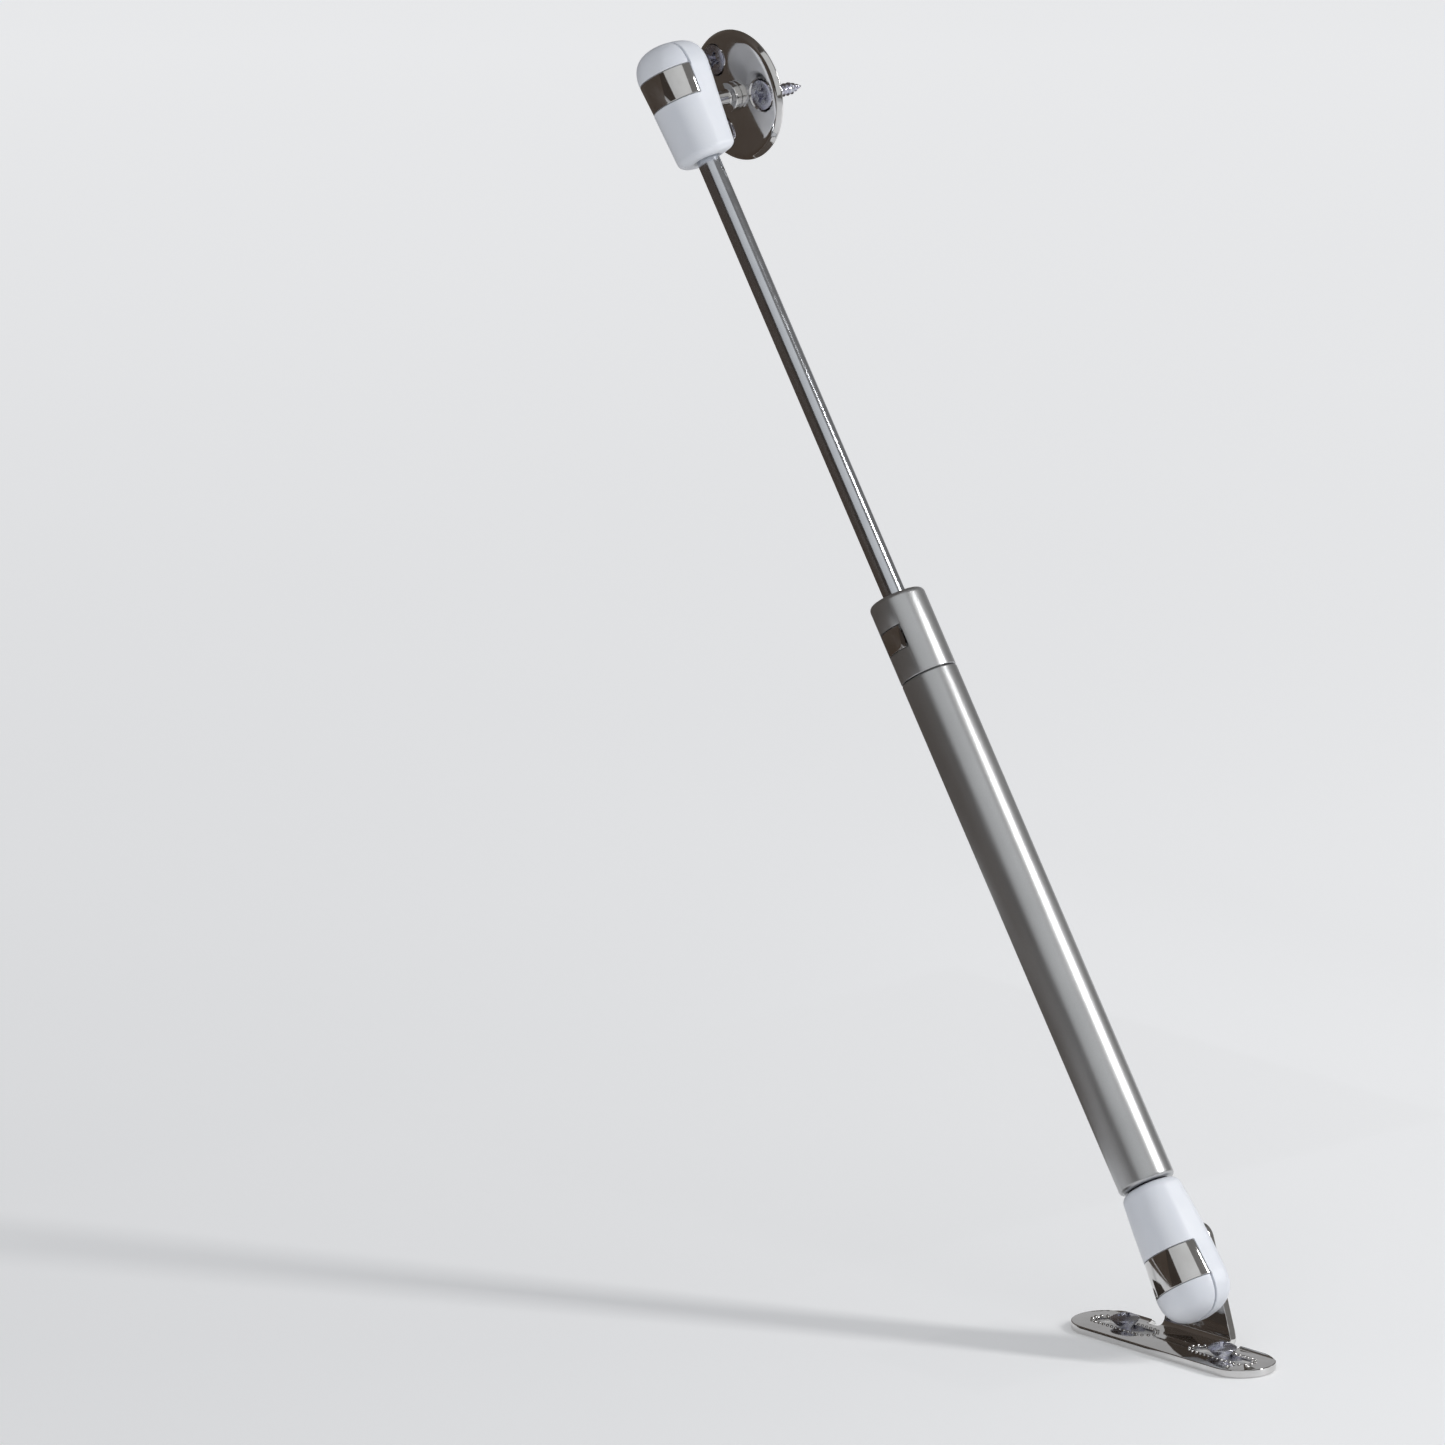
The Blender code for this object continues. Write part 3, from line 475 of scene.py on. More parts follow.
def band(spans, thickness, edge, radius_at, middle):
    """A strip bent round local Z; spans are (angle, half height, sink) stations and the ends are rounded."""
    first, last = spans[0], spans[-1]
    turn = math.degrees(edge / radius_at(middle))
    easing = [1 - math.sin(math.radians(degrees)) for degrees in (0, 30, 60)]
    stations = [(first[0] + turn * share - turn, edge * share, first) for share in easing]
    stations += [(span[0], 0.0, span) for span in spans]
    stations += [(last[0] - turn * share + turn, edge * share, last) for share in easing[::-1]]
    rings = []
    for angle, shrink, (_, half, sink) in stations:
        cosine, sine = math.cos(math.radians(angle)), math.sin(math.radians(angle))
        ring = []
        for depth, height in band_section(half, thickness, edge, shrink):
            radius = radius_at(middle + height) - sink - depth
            ring.append((radius * cosine, radius * sine, middle + height))
        rings.append(ring)
    return skin(rings)


def build_cap_clip():
    """The chrome clip that fills the cap's window and runs on under the cap in the tube's bead."""
    radius = measure("tube_cap", STRUT)[2]
    end_angle, pad_angle, sink_angle = 124, 31, 5
    pad_half, wire_half, pad_sink, wire_drop = 3.0, 1.0, 0.1, 1.3
    spans = []
    for angle in range(-end_angle, end_angle + 1, 2):
        past = max(abs(angle) - pad_angle, 0)
        half = pad_half if past == 0 else wire_half
        spans.append((180 + angle, half, pad_sink + min(max(past - 1, 0) / sink_angle, 1.0) * wire_drop))
    clip = to_object("cap_clip", band(spans, 0.6, 0.15, lambda height: radius, BEAD_HEIGHT), STRUT)
    dress(clip, LOOKS["chrome"], "chrome", "cylinder", "tube_cap_clip")


def build_rod():
    """The rod between its riveted lower spigot, which carries the piston, and its upper spigot."""
    low, high, radius = measure("piston_rod", STRUT)
    rivet = low.z + RIVET_LENGTH
    corners = [(0.0, low.z, 0), (RIVET_RADIUS, low.z, 0.5), (RIVET_RADIUS, rivet, 0.1)]
    corners += [(PISTON_SPIGOT, rivet, 0.1), (PISTON_SPIGOT, ROD_END_HEIGHT, 0.1)]
    corners += [(radius, ROD_END_HEIGHT, 0.3), (radius, ROD_SHOULDER_HEIGHT, 0.4)]
    corners += [(ROD_SPIGOT, ROD_SHOULDER_HEIGHT, 0.1), (ROD_SPIGOT, high.z, 0.4), (0.0, high.z, 0)]
    rod = to_object("rod", lathe(rounded(corners), steps=128), STRUT)
    dress(rod, LOOKS["ground_steel"], "ground_steel", "rod", "piston_rod")


# ---------------------------------------------------------------- ball sockets and their clips


# Lengths in mm. start and ball are heights on the strut, and length and clip run from the start towards
# the dome. waist rows: distance from the start, half width, depth of the flat +X face.
SOCKETS = {
    "upper": {
        "start": 307.0,
        "towards": 1,
        "length": 32.0,
        "edge": 2.0,
        "waist": [(2.0, 7.8, 5.0), (11.4, 8.2, 5.7), (16.0, 8.4, 6.1), (23.5, 8.85, 6.7)],
        "ball": 322.0,
        "clip": (16.1, 23.9),
        "body": "rod",
    },
    "lower": {
        "start": 16.7,
        "towards": -1,
        "length": 36.9,
        "edge": 2.5,
        "waist": [(2.5, 7.7, 5.4), (10.0, 8.3, 6.0), (18.7, 8.8, 6.4), (27.7, 9.6, 6.2)],
        "ball": 0.0,
        "clip": (18.4, 28.0),
        "body": "lower_end",
    },
}
DOME_POWER = 2.6
DOME_TIP_DEPTH = 0.12
BORE_RADIUS = 3.25
BORE_DEPTH = 7.8
CAVITY_RADIUS = 5.3
CLIP_SHEET = 0.8
CLIP_END_ANGLE = 94
GROOVE_CLEARANCE = 0.25
SLIT_DEPTH = 1.2


def waist_at(socket, along):
    """Half width and face depth of a socket at a distance from its tube or rod end."""
    for before, after in zip(socket["waist"], socket["waist"][1:]):
        if along <= after[0]:
            break
    share = (along - before[0]) / (after[0] - before[0])
    return [a + (b - a) * share for a, b in zip(before[1:], after[1:])]


def socket_ring(half, depth, corner, height):
    """A section: half round on the -X side, and a flat face with rounded corners on the +X side."""
    corner = min(corner, 0.8 * half, 0.9 * depth)
    middle = depth - corner
    points = arc((0.0, 0.0), half, 90, 270, 60)
    points += arc((middle, corner - half), corner, -90, 0, 10)
    points += arc((middle, half - corner), corner, 0, 90, 10)
    return [(x, y, height) for x, y in points]


def socket_body(socket, shrink=0.0):
    """The outside of a socket, or of one that is smaller by shrink all round."""
    edge = socket["edge"]
    first, last = socket["waist"][0], socket["waist"][-1]
    stations = []
    for degrees in range(0, 90, 10):
        level = edge * (1 - math.cos(math.radians(degrees)))
        step_in = edge * (1 - math.sin(math.radians(degrees)))
        stations.append((level, first[1] - step_in, first[2] - step_in))
    steps = 24
    for step in range(steps + 1):
        level = first[0] + (last[0] - first[0]) * step / steps
        stations.append((level, *waist_at(socket, level)))
    dome = socket["length"] - last[0]
    for degrees in range(3, 88, 4):
        narrow = math.cos(math.radians(degrees)) ** (2 / DOME_POWER)
        rise = math.sin(math.radians(degrees)) ** (2 / DOME_POWER)
        depth = last[2] * (DOME_TIP_DEPTH + (1 - DOME_TIP_DEPTH) * narrow)
        stations.append((last[0] + (dome - shrink) * rise, last[1] * narrow, depth))
    rings = []
    for level, half, depth in stations:
        height = socket["start"] + socket["towards"] * level
        rings.append(socket_ring(max(half - shrink, 0.3), max(depth - shrink, 0.3), edge, height))
    return skin(rings)


def clip_groove(socket):
    """The room for a clip: a little deeper and wider than the clip, and open to the outside."""
    rings = []
    end = CLIP_END_ANGLE - 1.4
    for along in (socket["clip"][0] - GROOVE_CLEARANCE, socket["clip"][1] + GROOVE_CLEARANCE):
        half = waist_at(socket, along)[0]
        points = arc((0.0, 0.0), half + 4.0, end, 360 - end, 80)
        points += arc((0.0, 0.0), half - CLIP_SHEET - 0.1, 360 - end, end, 80)
        height = socket["start"] + socket["towards"] * along
        rings.append([(x, y, height) for x, y in points])
    return skin(rings)


def dome_slit(socket):
    """The thin slit that runs on from the clip's ends over the dome."""
    x = math.cos(math.radians(CLIP_END_ANGLE)) * socket["waist"][-1][1]
    left, right, reach = x - 0.15, x + 0.5, 15.0
    corners = [(left, -reach), (right, -reach), (right, reach), (left, reach)]
    rings = []
    for along in (socket["clip"][1] - 0.5, socket["length"] + 2.0):
        height = socket["start"] + socket["towards"] * along
        rings.append([(x, y, height) for x, y in corners])
    return skin(rings)


def socket_cutters(socket):
    """Cutters for the ball, for the neck that swings with it, for the rod or tube stud and for the clip."""
    ball = (0.0, 0.0, socket["ball"])
    cavity = bmesh.new()
    bmesh.ops.create_uvsphere(cavity, u_segments=64, v_segments=32, radius=CAVITY_RADIUS)
    bmesh.ops.translate(cavity, verts=cavity.verts, vec=ball)
    mouth = lathe([(0.0, 0.5), (4.9, 0.5), (4.9, 5.0), (6.4, 8.6), (0.0, 8.6)], steps=64)
    bmesh.ops.rotate(mouth, verts=mouth.verts, matrix=QUARTER_TURN)
    bmesh.ops.translate(mouth, verts=mouth.verts, vec=ball)
    start, towards = socket["start"], socket["towards"]
    bottom = start + BORE_DEPTH * towards
    outline = [(0.0, start - towards), (BORE_RADIUS + 1.6, start - towards)]
    outline += [(BORE_RADIUS, start + 0.7 * towards), (BORE_RADIUS, bottom), (0.0, bottom)]
    return [cavity, mouth, lathe(outline, steps=64), clip_groove(socket)]


def build_socket(name):
    socket = SOCKETS[name]
    piece = to_object(f"{name}_socket_body", socket_body(socket), STRUT)
    slit = to_object(f"{name}_slit", dome_slit(socket), STRUT)
    combine(slit, to_object(f"{name}_core", socket_body(socket, SLIT_DEPTH), STRUT))
    carve(piece, socket_cutters(socket))
    combine(piece, slit)
    mould(piece, 0.14, 6)
    dress(piece, LOOKS["socket_plastic"], "socket_plastic", socket["body"], f"{name}_socket")


def build_socket_clip(name):
    socket = SOCKETS[name]
    middle = sum(socket["clip"]) / 2
    half = (socket["clip"][1] - socket["clip"][0]) / 2 + 0.12
    start, towards = socket["start"], socket["towards"]

    def radius_at(height):
        return waist_at(socket, (height - start) * towards)[0]

    spans = [(angle, half, 0.06) for angle in range(CLIP_END_ANGLE + 1, 360 - CLIP_END_ANGLE, 2)]
    bm = band(spans, CLIP_SHEET, 0.22, radius_at, start + towards * middle)
    clip = to_object(f"{name}_clip", bm, STRUT)
    dress(clip, LOOKS["chrome"], "chrome", f"{name}_clip", f"{name}_socket_clip")


# ---------------------------------------------------------------- studs, plate and screws


BALL_RADIUS = 5.0
STUD_NECK = 2.0
STUD_NECK_START = 5.2
STUD_GAP = 0.04
UPPER_COLLAR_RADIUS = 3.9
UPPER_COLLAR_START = 14.2
LOWER_COLLAR_RADIUS = 3.6
LOWER_COLLAR_SHEET = 1.2


def ball_outline():
    """A stud's ball from its far side to the start of the neck, which runs along local Z."""
    neck_angle = math.degrees(math.acos(STUD_NECK / BALL_RADIUS))
    points = arc((0.0, 0.0), BALL_RADIUS, -90, neck_angle - 3, 36)
    return [(0.0, -BALL_RADIUS)] + points[1:]


def build_upper_stud():
    """A stud with a collar on the wall plate's front and an end flared into the plate's back."""
    high = measure("upper_ball_stud", UPPER_STUD)[1]
    foot = measure("wall_plate", UPPER_STUD)[0].z - STUD_GAP
    corners = [(STUD_NECK, STUD_NECK_START, 0.6), (STUD_NECK, UPPER_COLLAR_START, 0.5)]
    corners += [(UPPER_COLLAR_RADIUS, UPPER_COLLAR_START, 0.35), (UPPER_COLLAR_RADIUS, foot, 0.15)]
    corners += [(2.5, foot, 0.1), (2.5, high.z - 0.9, 0.1), (3.4, high.z, 0.2), (0.0, high.z, 0)]
    stud = to_object("upper_stud", lathe(ball_outline() + rounded(corners, steps=4), steps=96), UPPER_STUD)
    dress(stud, LOOKS["chrome"], "chrome", "upper_stud", "upper_ball_stud")


def build_lower_stud():
    """A stud with a collar on the tab's front and an end peened flush into the tab's back."""
    high = measure("lower_ball_stud", LOWER_STUD)[1]
    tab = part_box("door_bracket")[1].x / MM - BRACKET_SHEET
    collar = tab - LOWER_COLLAR_SHEET
    foot = tab - STUD_GAP
    corners = [(STUD_NECK, STUD_NECK_START, 0.6), (STUD_NECK, collar, 0.2)]
    corners += [(LOWER_COLLAR_RADIUS, collar, 0.25), (LOWER_COLLAR_RADIUS, foot, 0.2)]
    corners += [(2.55, foot, 0), (2.55, high.z - 0.75, 0), (3.25, high.z - 0.06, 0.1)]
    corners += [(2.6, high.z, 0.3), (0.0, high.z - 0.12, 0)]
    stud = to_object("lower_stud", lathe(ball_outline() + rounded(corners, steps=4), steps=96), LOWER_STUD)
    dress(stud, LOOKS["chrome"], "chrome", "lower_stud", "lower_ball_stud")


PLATE_HOLE = 2.8
PLATE_REST = 0.45
HEAD_RADIUS = 3.9
HEAD_EDGE = 0.25
SHANK_RADIUS = 1.75
THREAD_PITCH = 1.45


def plate_screw_places():
    """Where each wall plate screw stands across the plate, in the upper stud's axes and in mm."""
    places = []
    for number in (1, 2, 3):
        low, high, _ = measure(f"wall_plate_screw_{number}", UPPER_STUD)
        places.append(((low.x + high.x) / 2, (low.y + high.y) / 2))
    return places


def build_wall_plate():
    """A round plate, slightly domed, with a rolled rim and countersunk holes for its screws."""
    low, high, radius = measure("wall_plate", UPPER_STUD)
    front, back = low.z, high.z
    flat = radius - 1.9
    outline = [(PLATE_HOLE, front)]
    for step in range(1, 13):
        share = step / 12
        outline.append((PLATE_HOLE + (flat - PLATE_HOLE) * share, front + PLATE_REST * share**2.4))
    rim = [(flat, front + PLATE_REST, 0), (radius - 0.9, front + 0.8, 1.2), (radius - 0.1, front + 1.75, 0.7)]
    rim += [(radius, back, 0.2), (PLATE_HOLE + 1.0, back, 0.2), (PLATE_HOLE, back - 1.1, 0)]
    outline += rounded(rim, steps=6)[1:]
    plate = to_object("plate", lathe(outline, closed=True, steps=160), UPPER_STUD)
    cutters = []
    bore = SHANK_RADIUS + 0.3
    mouth = HEAD_RADIUS + 0.65
    hole = [(0.0, front - 1.0), (mouth + 1.0, front - 1.0), (bore, front + mouth - bore)]
    hole += [(bore, back + 2.0), (0.0, back + 2.0)]
    for x, y in plate_screw_places():
        bm = lathe(hole, steps=64)
        bmesh.ops.translate(bm, verts=bm.verts, vec=(x, y, 0.0))
        cutters.append(bm)
    carve(plate, cutters)
    soften_edges(plate, 0.08, 35.0)
    dress(plate, LOOKS["chrome"], "chrome", "wall_mount", "wall_plate")


def thread_rings(top, tip, steps):
    """Rings of a threaded shank from its top down to a pointed tip."""
    rings = []
    core = 0.74 * SHANK_RADIUS
    rows_per_turn = 10
    count = int((top - tip) / THREAD_PITCH * rows_per_turn)
    for row in range(count):
        height = top + (tip - top) * row / count
        taper = min((height - tip) / 4.0, 1.0)
        rise = min((top - height) / 1.5, 1.0)
        ring = []
        for i in range(steps):
            phase = (height / THREAD_PITCH - i / steps) % 1.0
            crest = max(0.0, 1.0 - abs(phase - 0.5) * 3.2)
            radius = (core + (SHANK_RADIUS - core) * crest * rise) * max(taper, 0.04) ** 0.8
            angle = math.tau * i / steps
            ring.append((radius * math.cos(angle), radius * math.sin(angle), height))
        rings.append(ring)
    return rings + [[(0.0, 0.0, tip)]]


def cross_recess(top):
    """A cutter for a cross recess: four tapering arms and a conical middle."""
    rings = []
    for reach, half, depth in ((2.25, 0.52, -0.5), (2.05, 0.46, 0.35), (0.75, 0.28, 2.1)):
        ring = []
        for turns in range(4):
            for x, y in ((reach, -half), (reach, half), (half, half)):
                for _ in range(turns):
                    x, y = -y, x
                ring.append((x, y, top - depth))
        rings.append(ring)
    outline = [(0.0, top + 0.5), (1.35, top + 0.5), (1.15, top - 0.35), (0.45, top - 2.3), (0.0, top - 2.3)]
    return [skin(rings), lathe(outline, steps=32)]


def build_screw(name, head, top, place, body):
    """A screw from its head's outline, with a thread down to its point and a cross recess in its top."""
    steps = 48
    tip = measure(name, place)[0].z
    rings = [[(0.0, 0.0, top)]] + [circle(radius, height, steps) for radius, height in head[1:]]
    rings += thread_rings(head[-1][1] - 0.3, tip, steps)
    screw = to_object(name.replace("_screw", "_fixing"), skin(rings), place)
    carve(screw, cross_recess(top))
    soften_edges(screw, 0.06, 50.0, 1)
    dress(screw, LOOKS["zinc_steel"], "zinc_steel", body, name)


def build_plate_screws():
    front = measure("wall_plate", UPPER_STUD)[0].z
    corners = [(0.0, 0.1, 0), (2.6, 0.08, 0), (HEAD_RADIUS, 0.0, 0.12), (HEAD_RADIUS, -HEAD_EDGE, 0.08)]
    corners += [(SHANK_RADIUS, SHANK_RADIUS - HEAD_RADIUS - HEAD_EDGE, 0.5), (SHANK_RADIUS, -3.2, 0)]
    head = rounded(corners, steps=3)
    for number, (x, y) in enumerate(plate_screw_places(), 1):
        centre = UPPER_STUD @ Vector((x * MM, y * MM, front * MM))
        twist = Matrix.Rotation(math.radians(25 + 47 * number), 4, "Z")
        place = axes(UP, -SIDE, centre) @ twist
        build_screw(f"wall_plate_screw_{number}", head, head[0][1], place, "wall_mount")


def build_bracket_screws():
    """Raised countersunk screws that stand on the edges of the slots."""
    for number in (1, 2):
        name = f"door_bracket_screw_{number}"
        low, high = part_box(name)
        centre = (low + high) / 2
        twist = Matrix.Rotation(math.radians(20 + 60 * number), 4, "Z")
        place = Matrix.Translation((centre.x, centre.y, 0.0)) @ twist
        top = high.z / MM
        rim = top - 1.1
        corners = [(0.0, top, 0), (1.2, top - 0.06, 0), (2.2, top - 0.25, 0), (3.1, top - 0.62, 0)]
        cone = rim - HEAD_EDGE
        corners += [(HEAD_RADIUS, rim, 0.15), (HEAD_RADIUS, cone, 0.1)]
        corners += [(SHANK_RADIUS, cone - HEAD_RADIUS + SHANK_RADIUS, 0.3), (SHANK_RADIUS, -1.0, 0)]
        head = rounded(corners, steps=3)
        build_screw(name, head, top, place, "door_mount")


# ---------------------------------------------------------------- door bracket


BRACKET_SHEET = 2.0
BEND_START = 6.8
BEND_INNER = 1.5
BEND_LENGTH = (BEND_INNER + BRACKET_SHEET / 2) * math.pi / 2
TAB_HALF = 12.6
TAB_TOP = 4.3
TAB_TOP_ANGLE = 71
STUD_HOLE = 2.62
SLOT_MIDDLE = 18.15
SLOT_HALF_LENGTH = 10.0
SLOT_HALF_WIDTH = 2.25
SHEET_EDGE = 0.22


def slot_outline(y):
    """An anticlockwise slot along Y with round ends."""
    reach = SLOT_HALF_LENGTH - SLOT_HALF_WIDTH
    points = arc((0.0, y + reach), SLOT_HALF_WIDTH, 0, 180, 24)
    return points + arc((0.0, y - reach), SLOT_HALF_WIDTH, 180, 360, 24)


def blank_outline(half_length, half_width, tab_centre):
    """The bracket before it is bent, anticlockwise: base with relief notches and the tab beyond the bend."""
    reach = half_length - half_width
    relief = TAB_HALF + 3.8
    floor = BEND_START - 0.9
    tab_start = BEND_START + BEND_LENGTH
    crown = arc((tab_centre, 0.0), TAB_TOP, -TAB_TOP_ANGLE, TAB_TOP_ANGLE, 48)
    shoulder = (tab_start + 1.5, TAB_HALF - 0.5, 2.0)
    side = [(tab_start - 0.5, TAB_HALF, 1.0), (floor, TAB_HALF, 0.3), (floor, relief, 0.6)]
    side.append((half_width, relief, 0.5))
    upper = [(half_width, reach)] + arc((0.0, reach), half_width, 0, 180, 48)
    lower = arc((0.0, -reach), half_width, 180, 360, 48)
    corners = [(*crown[-1], 0), shoulder] + side + [(half_width, reach, 0)]
    right = rounded(corners, steps=8)
    mirrored = [(x, -y) for x, y in right[::-1]]
    return upper[1:] + lower + mirrored[1:-1] + crown[:-1] + right[:-1]


def sheet_solid(outline, holes, thickness, edge):
    """A flat sheet with eased edges; the outline runs anticlockwise and the holes clockwise."""
    bm = bmesh.new()
    caps = ([], [])
    for loop in [outline] + holes:
        rows = []
        for end in (0, 1):
            rings = []
            for degrees in (0, 30, 60, 90):
                step_in = edge * (1 - math.sin(math.radians(degrees)))
                level = edge * (1 - math.cos(math.radians(degrees)))
                height = level if end == 0 else thickness - level
                rings.append([(x, y, height) for x, y in inset(loop, step_in)])
            rows += rings if end == 0 else rings[::-1]
        rows = [[bm.verts.new(point) for point in ring] for ring in rows]
        for below, above in zip(rows, rows[1:]):
            for i, vert in enumerate(below):
                bm.faces.new((below[i - 1], vert, above[i], above[i - 1]))
        for cap, row in zip(caps, (rows[0], rows[-1])):
            cap += [bm.edges.get((row[i - 1], vert)) for i, vert in enumerate(row)]
    for cap in caps:
        bmesh.ops.triangle_fill(bm, edges=cap, use_beauty=True)
    return bm


def bend_sheet(bm, start, inner, thickness):
    """Bends the part of a flat sheet beyond local x = start upwards through a right angle."""
    length = (inner + thickness / 2) * math.pi / 2
    for step in range(17):
        geometry = bm.verts[:] + bm.edges[:] + bm.faces[:]
        spot = (start + length * step / 16, 0.0, 0.0)
        bmesh.ops.bisect_plane(bm, geom=geometry, dist=1e-5, plane_co=spot, plane_no=(1.0, 0.0, 0.0))
    for vert in bm.verts:
        past = vert.co.x - start
        if past > 0:
            angle = min(past / length, 1.0) * math.pi / 2
            radius = inner + thickness - vert.co.z
            rise = max(past - length, 0.0)
            vert.co.x = start + radius * math.sin(angle)
            vert.co.z = inner + thickness - radius * math.cos(angle) + rise


def serrations():
    """Small bumps in a ring round each slot, which the screw heads bite into."""
    row_x = SLOT_HALF_WIDTH + 0.95
    reach = SLOT_HALF_LENGTH - SLOT_HALF_WIDTH
    places = []
    for middle in (SLOT_MIDDLE, -SLOT_MIDDLE):
        for step in range(-5, 6):
            places += [(row_x, middle + step * reach / 5), (-row_x, middle + step * reach / 5)]
        for end in (1, -1):
            for degrees in range(30, 151, 30):
                x, y = arc((0.0, end * reach), row_x, end * degrees, end * degrees, 1)[0]
                places.append((x, middle + y))
    bm = bmesh.new()
    for x, y in places:
        spot = Matrix.Translation((x, y, BRACKET_SHEET - 0.12))
        bmesh.ops.create_icosphere(bm, subdivisions=2, radius=0.5, matrix=spot)
    return bm


def build_bracket():
    low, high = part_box("door_bracket")
    half_length = (high.y - low.y) / 2 / MM
    half_width = -low.x / MM
    ball_height = LOWER_BALL.z / MM
    tab_centre = BEND_START + BEND_LENGTH + ball_height - BEND_INNER - BRACKET_SHEET
    holes = [slot_outline(SLOT_MIDDLE)[::-1], slot_outline(-SLOT_MIDDLE)[::-1]]
    holes.append(arc((tab_centre, 0.0), STUD_HOLE, 360, 7.5, 47))
    blank = sheet_solid(blank_outline(half_length, half_width, tab_centre), holes, BRACKET_SHEET, SHEET_EDGE)
    bend_sheet(blank, BEND_START, BEND_INNER, BRACKET_SHEET)
    bracket = to_object("bracket", blank, Matrix.Identity(4))
    flare = lathe([(0.0, -1.05), (2.6, -1.05), (3.62, 0.0), (3.62, 1.0), (0.0, 1.0)], steps=64)
    bmesh.ops.rotate(flare, verts=flare.verts, matrix=QUARTER_TURN)
    back = BEND_START + BEND_INNER + BRACKET_SHEET
    bmesh.ops.translate(flare, verts=flare.verts, vec=(back, 0.0, ball_height))
    carve(bracket, [flare])
    carve(bracket, [serrations()], "UNION")
    dress(bracket, LOOKS["chrome"], "chrome", "door_mount", "door_bracket")


# ---------------------------------------------------------------- studio


FLOOR_HEIGHT = -0.0002
CARD_HEIGHT = 0.0003
CAMERA_AZIMUTH = -42.3
CAMERA_ELEVATION = 15.5
CAMERA_DISTANCE = 12.0
CAMERA_LENS = 1173.9
# from the CAD box's centre: mm to the camera's right, up and towards the camera
CAMERA_AIM = (-66.1, -1.7, 26.8)


def add_plane(name, look, place, size):
    """A stage plane of a size in metres, centred on a place and facing along its local Z."""
    across, up = size[0] / 2 / MM, size[1] / 2 / MM
    bm = bmesh.new()
    corners = [(-across, -up), (across, -up), (across, up), (-across, up)]
    bm.faces.new([bm.verts.new((x, y, 0.0)) for x, y in corners])
    plane = to_object(name, bm, place)
    plane.data.materials.append(look)
    return plane


def build_floor():
    """A pale floor that glows a little more towards the back, so that the whole picture is evenly pale."""
    look = new_look("pale_floor", 0.0)
    shade = spread(look, noise(look, 400.0, 2.0), 0.0, 1.0)
    feed(look, "Base Color", blend_colours(look, shade, (0.78, 0.78, 0.78), (0.80, 0.80, 0.80)))
    shader = look.node_tree.nodes["Principled BSDF"]
    shader.inputs["Roughness"].default_value = 0.6
    shader.inputs["Emission Color"].default_value = (1.0, 1.0, 1.0, 1.0)
    spot = add_node(look, "ShaderNodeTexCoord", {}).outputs["Object"]
    inputs = {0: spot, 1: (0.67, 0.74, 0.0)}
    away = add_node(look, "ShaderNodeVectorMath", inputs, operation="DOT_PRODUCT").outputs["Value"]
    feed(look, "Emission Strength", spread(look, away, 0.16, 0.44, 0.0, 1.3))
    add_plane("floor", look, Matrix.Translation((0.0, 0.0, FLOOR_HEIGHT)), (12.0, 12.0))


def build_card(name, centre, x_axis, facing, size, colour):
    """A card, in metres, that only shows in glossy reflections."""
    look = new_look(name, 0.0)
    shader = look.node_tree.nodes["Principled BSDF"]
    shader.inputs["Base Color"].default_value = (0.0, 0.0, 0.0, 1.0)
    shader.inputs["Emission Color"].default_value = (*colour, 1.0)
    shader.inputs["Emission Strength"].default_value = 1.0
    card = add_plane(name, look, axes(x_axis, facing, Vector(centre)), size)
    card.visible_camera = False
    card.visible_diffuse = False
    card.visible_shadow = False
    card.visible_transmission = False


def build_cards():
    """Stand-ins for the dark wooden cabinet that the real object's metal reflects."""
    left, front = Vector((-1.0, 0.0, 0.0)), Vector((0.0, -1.0, 0.0))
    build_card("dark_card", (-0.9, 0.30, 1.01), SIDE, front, (2.2, 2.0), (0.055, 0.039, 0.028))
    build_card("dark_floor_card", (-0.9, 0.205, CARD_HEIGHT), SIDE, UP, (2.2, 0.19), (0.085, 0.070, 0.060))
    build_card("grey_card", (0.30, 0.32, 0.155), UP, left, (0.25, 0.24), (0.42, 0.42, 0.425))
    build_card("floor_card", (-0.038, 0.027, CARD_HEIGHT), SIDE, UP, (0.050, 0.046), (0.030, 0.024, 0.020))


def build_light(name, centre, towards, distance, size, power, colour):
    """A rectangular light whose longer side runs along the strut."""
    light = bpy.data.lights.new(name, "AREA")
    light.shape = "RECTANGLE"
    light.size, light.size_y = size
    light.energy = power
    light.color = colour
    lamp = bpy.data.objects.new(name, light)
    bpy.context.scene.collection.objects.link(lamp)
    lamp.matrix_world = axes(ALONG.cross(towards), towards, centre + towards.normalized() * distance)


def build_lights():
    centre = (LOWER_BALL + UPPER_BALL) / 2
    beside_tube = centre - ALONG * 0.265
    to_strip, to_box = Vector((0.528, -0.570, 0.631)), Vector((-0.49, -0.59, 0.64))
    build_light("key_strip", beside_tube, to_strip, 1.3, (0.13, 0.60), 8.5, (1.0, 1.0, 1.0))
    build_light("soft_box", centre, to_box, 1.9, (2.4, 2.4), 10.4, (0.95, 0.98, 1.0))


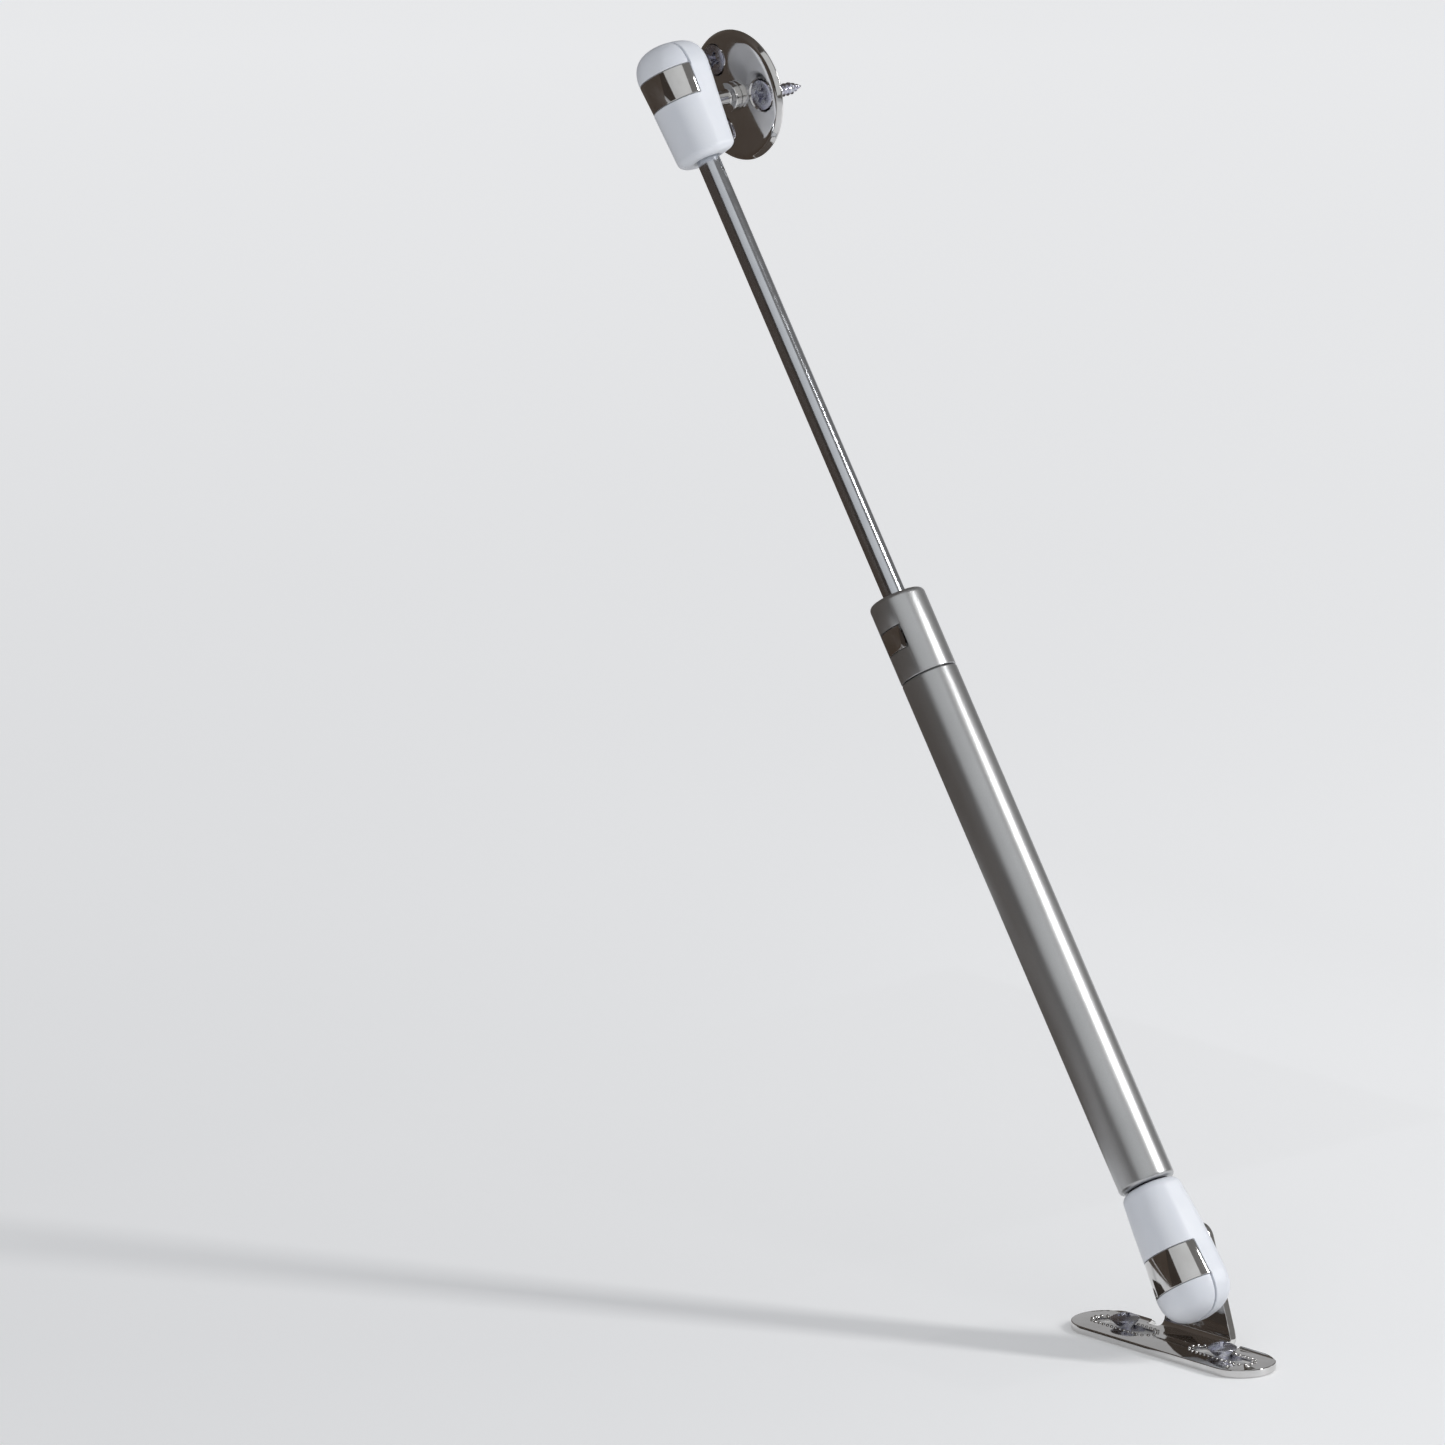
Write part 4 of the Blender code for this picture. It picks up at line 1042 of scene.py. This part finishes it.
def build_world():
    """Even pale light, which glossy rays see as a room that is brown and dark on the cabinet's side."""
    world = bpy.data.worlds.new("studio")
    world.use_nodes = True
    pale, dark, bright = (0.40, 0.41, 0.43), (0.050, 0.041, 0.035), (0.21, 0.205, 0.20)
    place = add_node(world, "ShaderNodeTexCoord", {}).outputs["Generated"]
    inputs = {0: place, 1: (0.55, -0.75, 0.36)}
    side = add_node(world, "ShaderNodeVectorMath", inputs, operation="DOT_PRODUCT").outputs["Value"]
    share = spread(world, side, 0.0, 1.0, -0.1, 0.7)
    room = blend_colours(world, share, dark, bright)
    glossy = add_node(world, "ShaderNodeLightPath", {}).outputs["Is Glossy Ray"]
    shade = blend_colours(world, glossy, pale, room)
    world.node_tree.links.new(shade, world.node_tree.nodes["Background"].inputs["Color"])
    bpy.context.scene.world = world
    bpy.context.scene.view_settings.view_transform = "Standard"


def direction(azimuth, elevation):
    """From the object towards something at an azimuth from -Y, turning towards +X, and an elevation."""
    a, e = math.radians(azimuth), math.radians(elevation)
    return Vector((math.sin(a) * math.cos(e), -math.cos(a) * math.cos(e), math.sin(e)))


def build_camera():
    """A far camera with a long lens, aimed beside the object as the photograph frames it."""
    back = direction(CAMERA_AZIMUTH, CAMERA_ELEVATION)
    right = Vector((-back.y, back.x, 0.0)).normalized()
    up = back.cross(right)
    centre = (Vector(CAD_BOX[0]) + Vector(CAD_BOX[1])) / 2
    across, rise, depth = (MM * value for value in CAMERA_AIM)
    aim = centre + right * across + up * rise + back * depth
    data = bpy.data.cameras.new("camera")
    data.sensor_width = 36.0
    data.lens = CAMERA_LENS
    camera = bpy.data.objects.new("camera", data)
    bpy.context.scene.collection.objects.link(camera)
    camera.matrix_world = axes(right, back, aim + back * CAMERA_DISTANCE)
    bpy.context.scene.camera = camera


def dress_cad_nodes():
    """Gives every CAD node its look, as the nodes inside the tube are shown in their CAD shapes."""
    slots = {row["node"]: row["material_slot"] for row in frame["record"]["subparts"]}
    for name, node in frame["nodes"].items():
        node.data.materials.clear()
        node.data.materials.append(LOOKS[slots[name]])


build_camera()
build_lights()
build_cards()
build_world()
build_floor()
dress_cad_nodes()
build_tube()
build_cap()
build_cap_clip()
build_rod()
for end in SOCKETS:
    build_socket(end)
    build_socket_clip(end)
build_upper_stud()
build_lower_stud()
build_wall_plate()
build_plate_screws()
build_bracket()
build_bracket_screws()
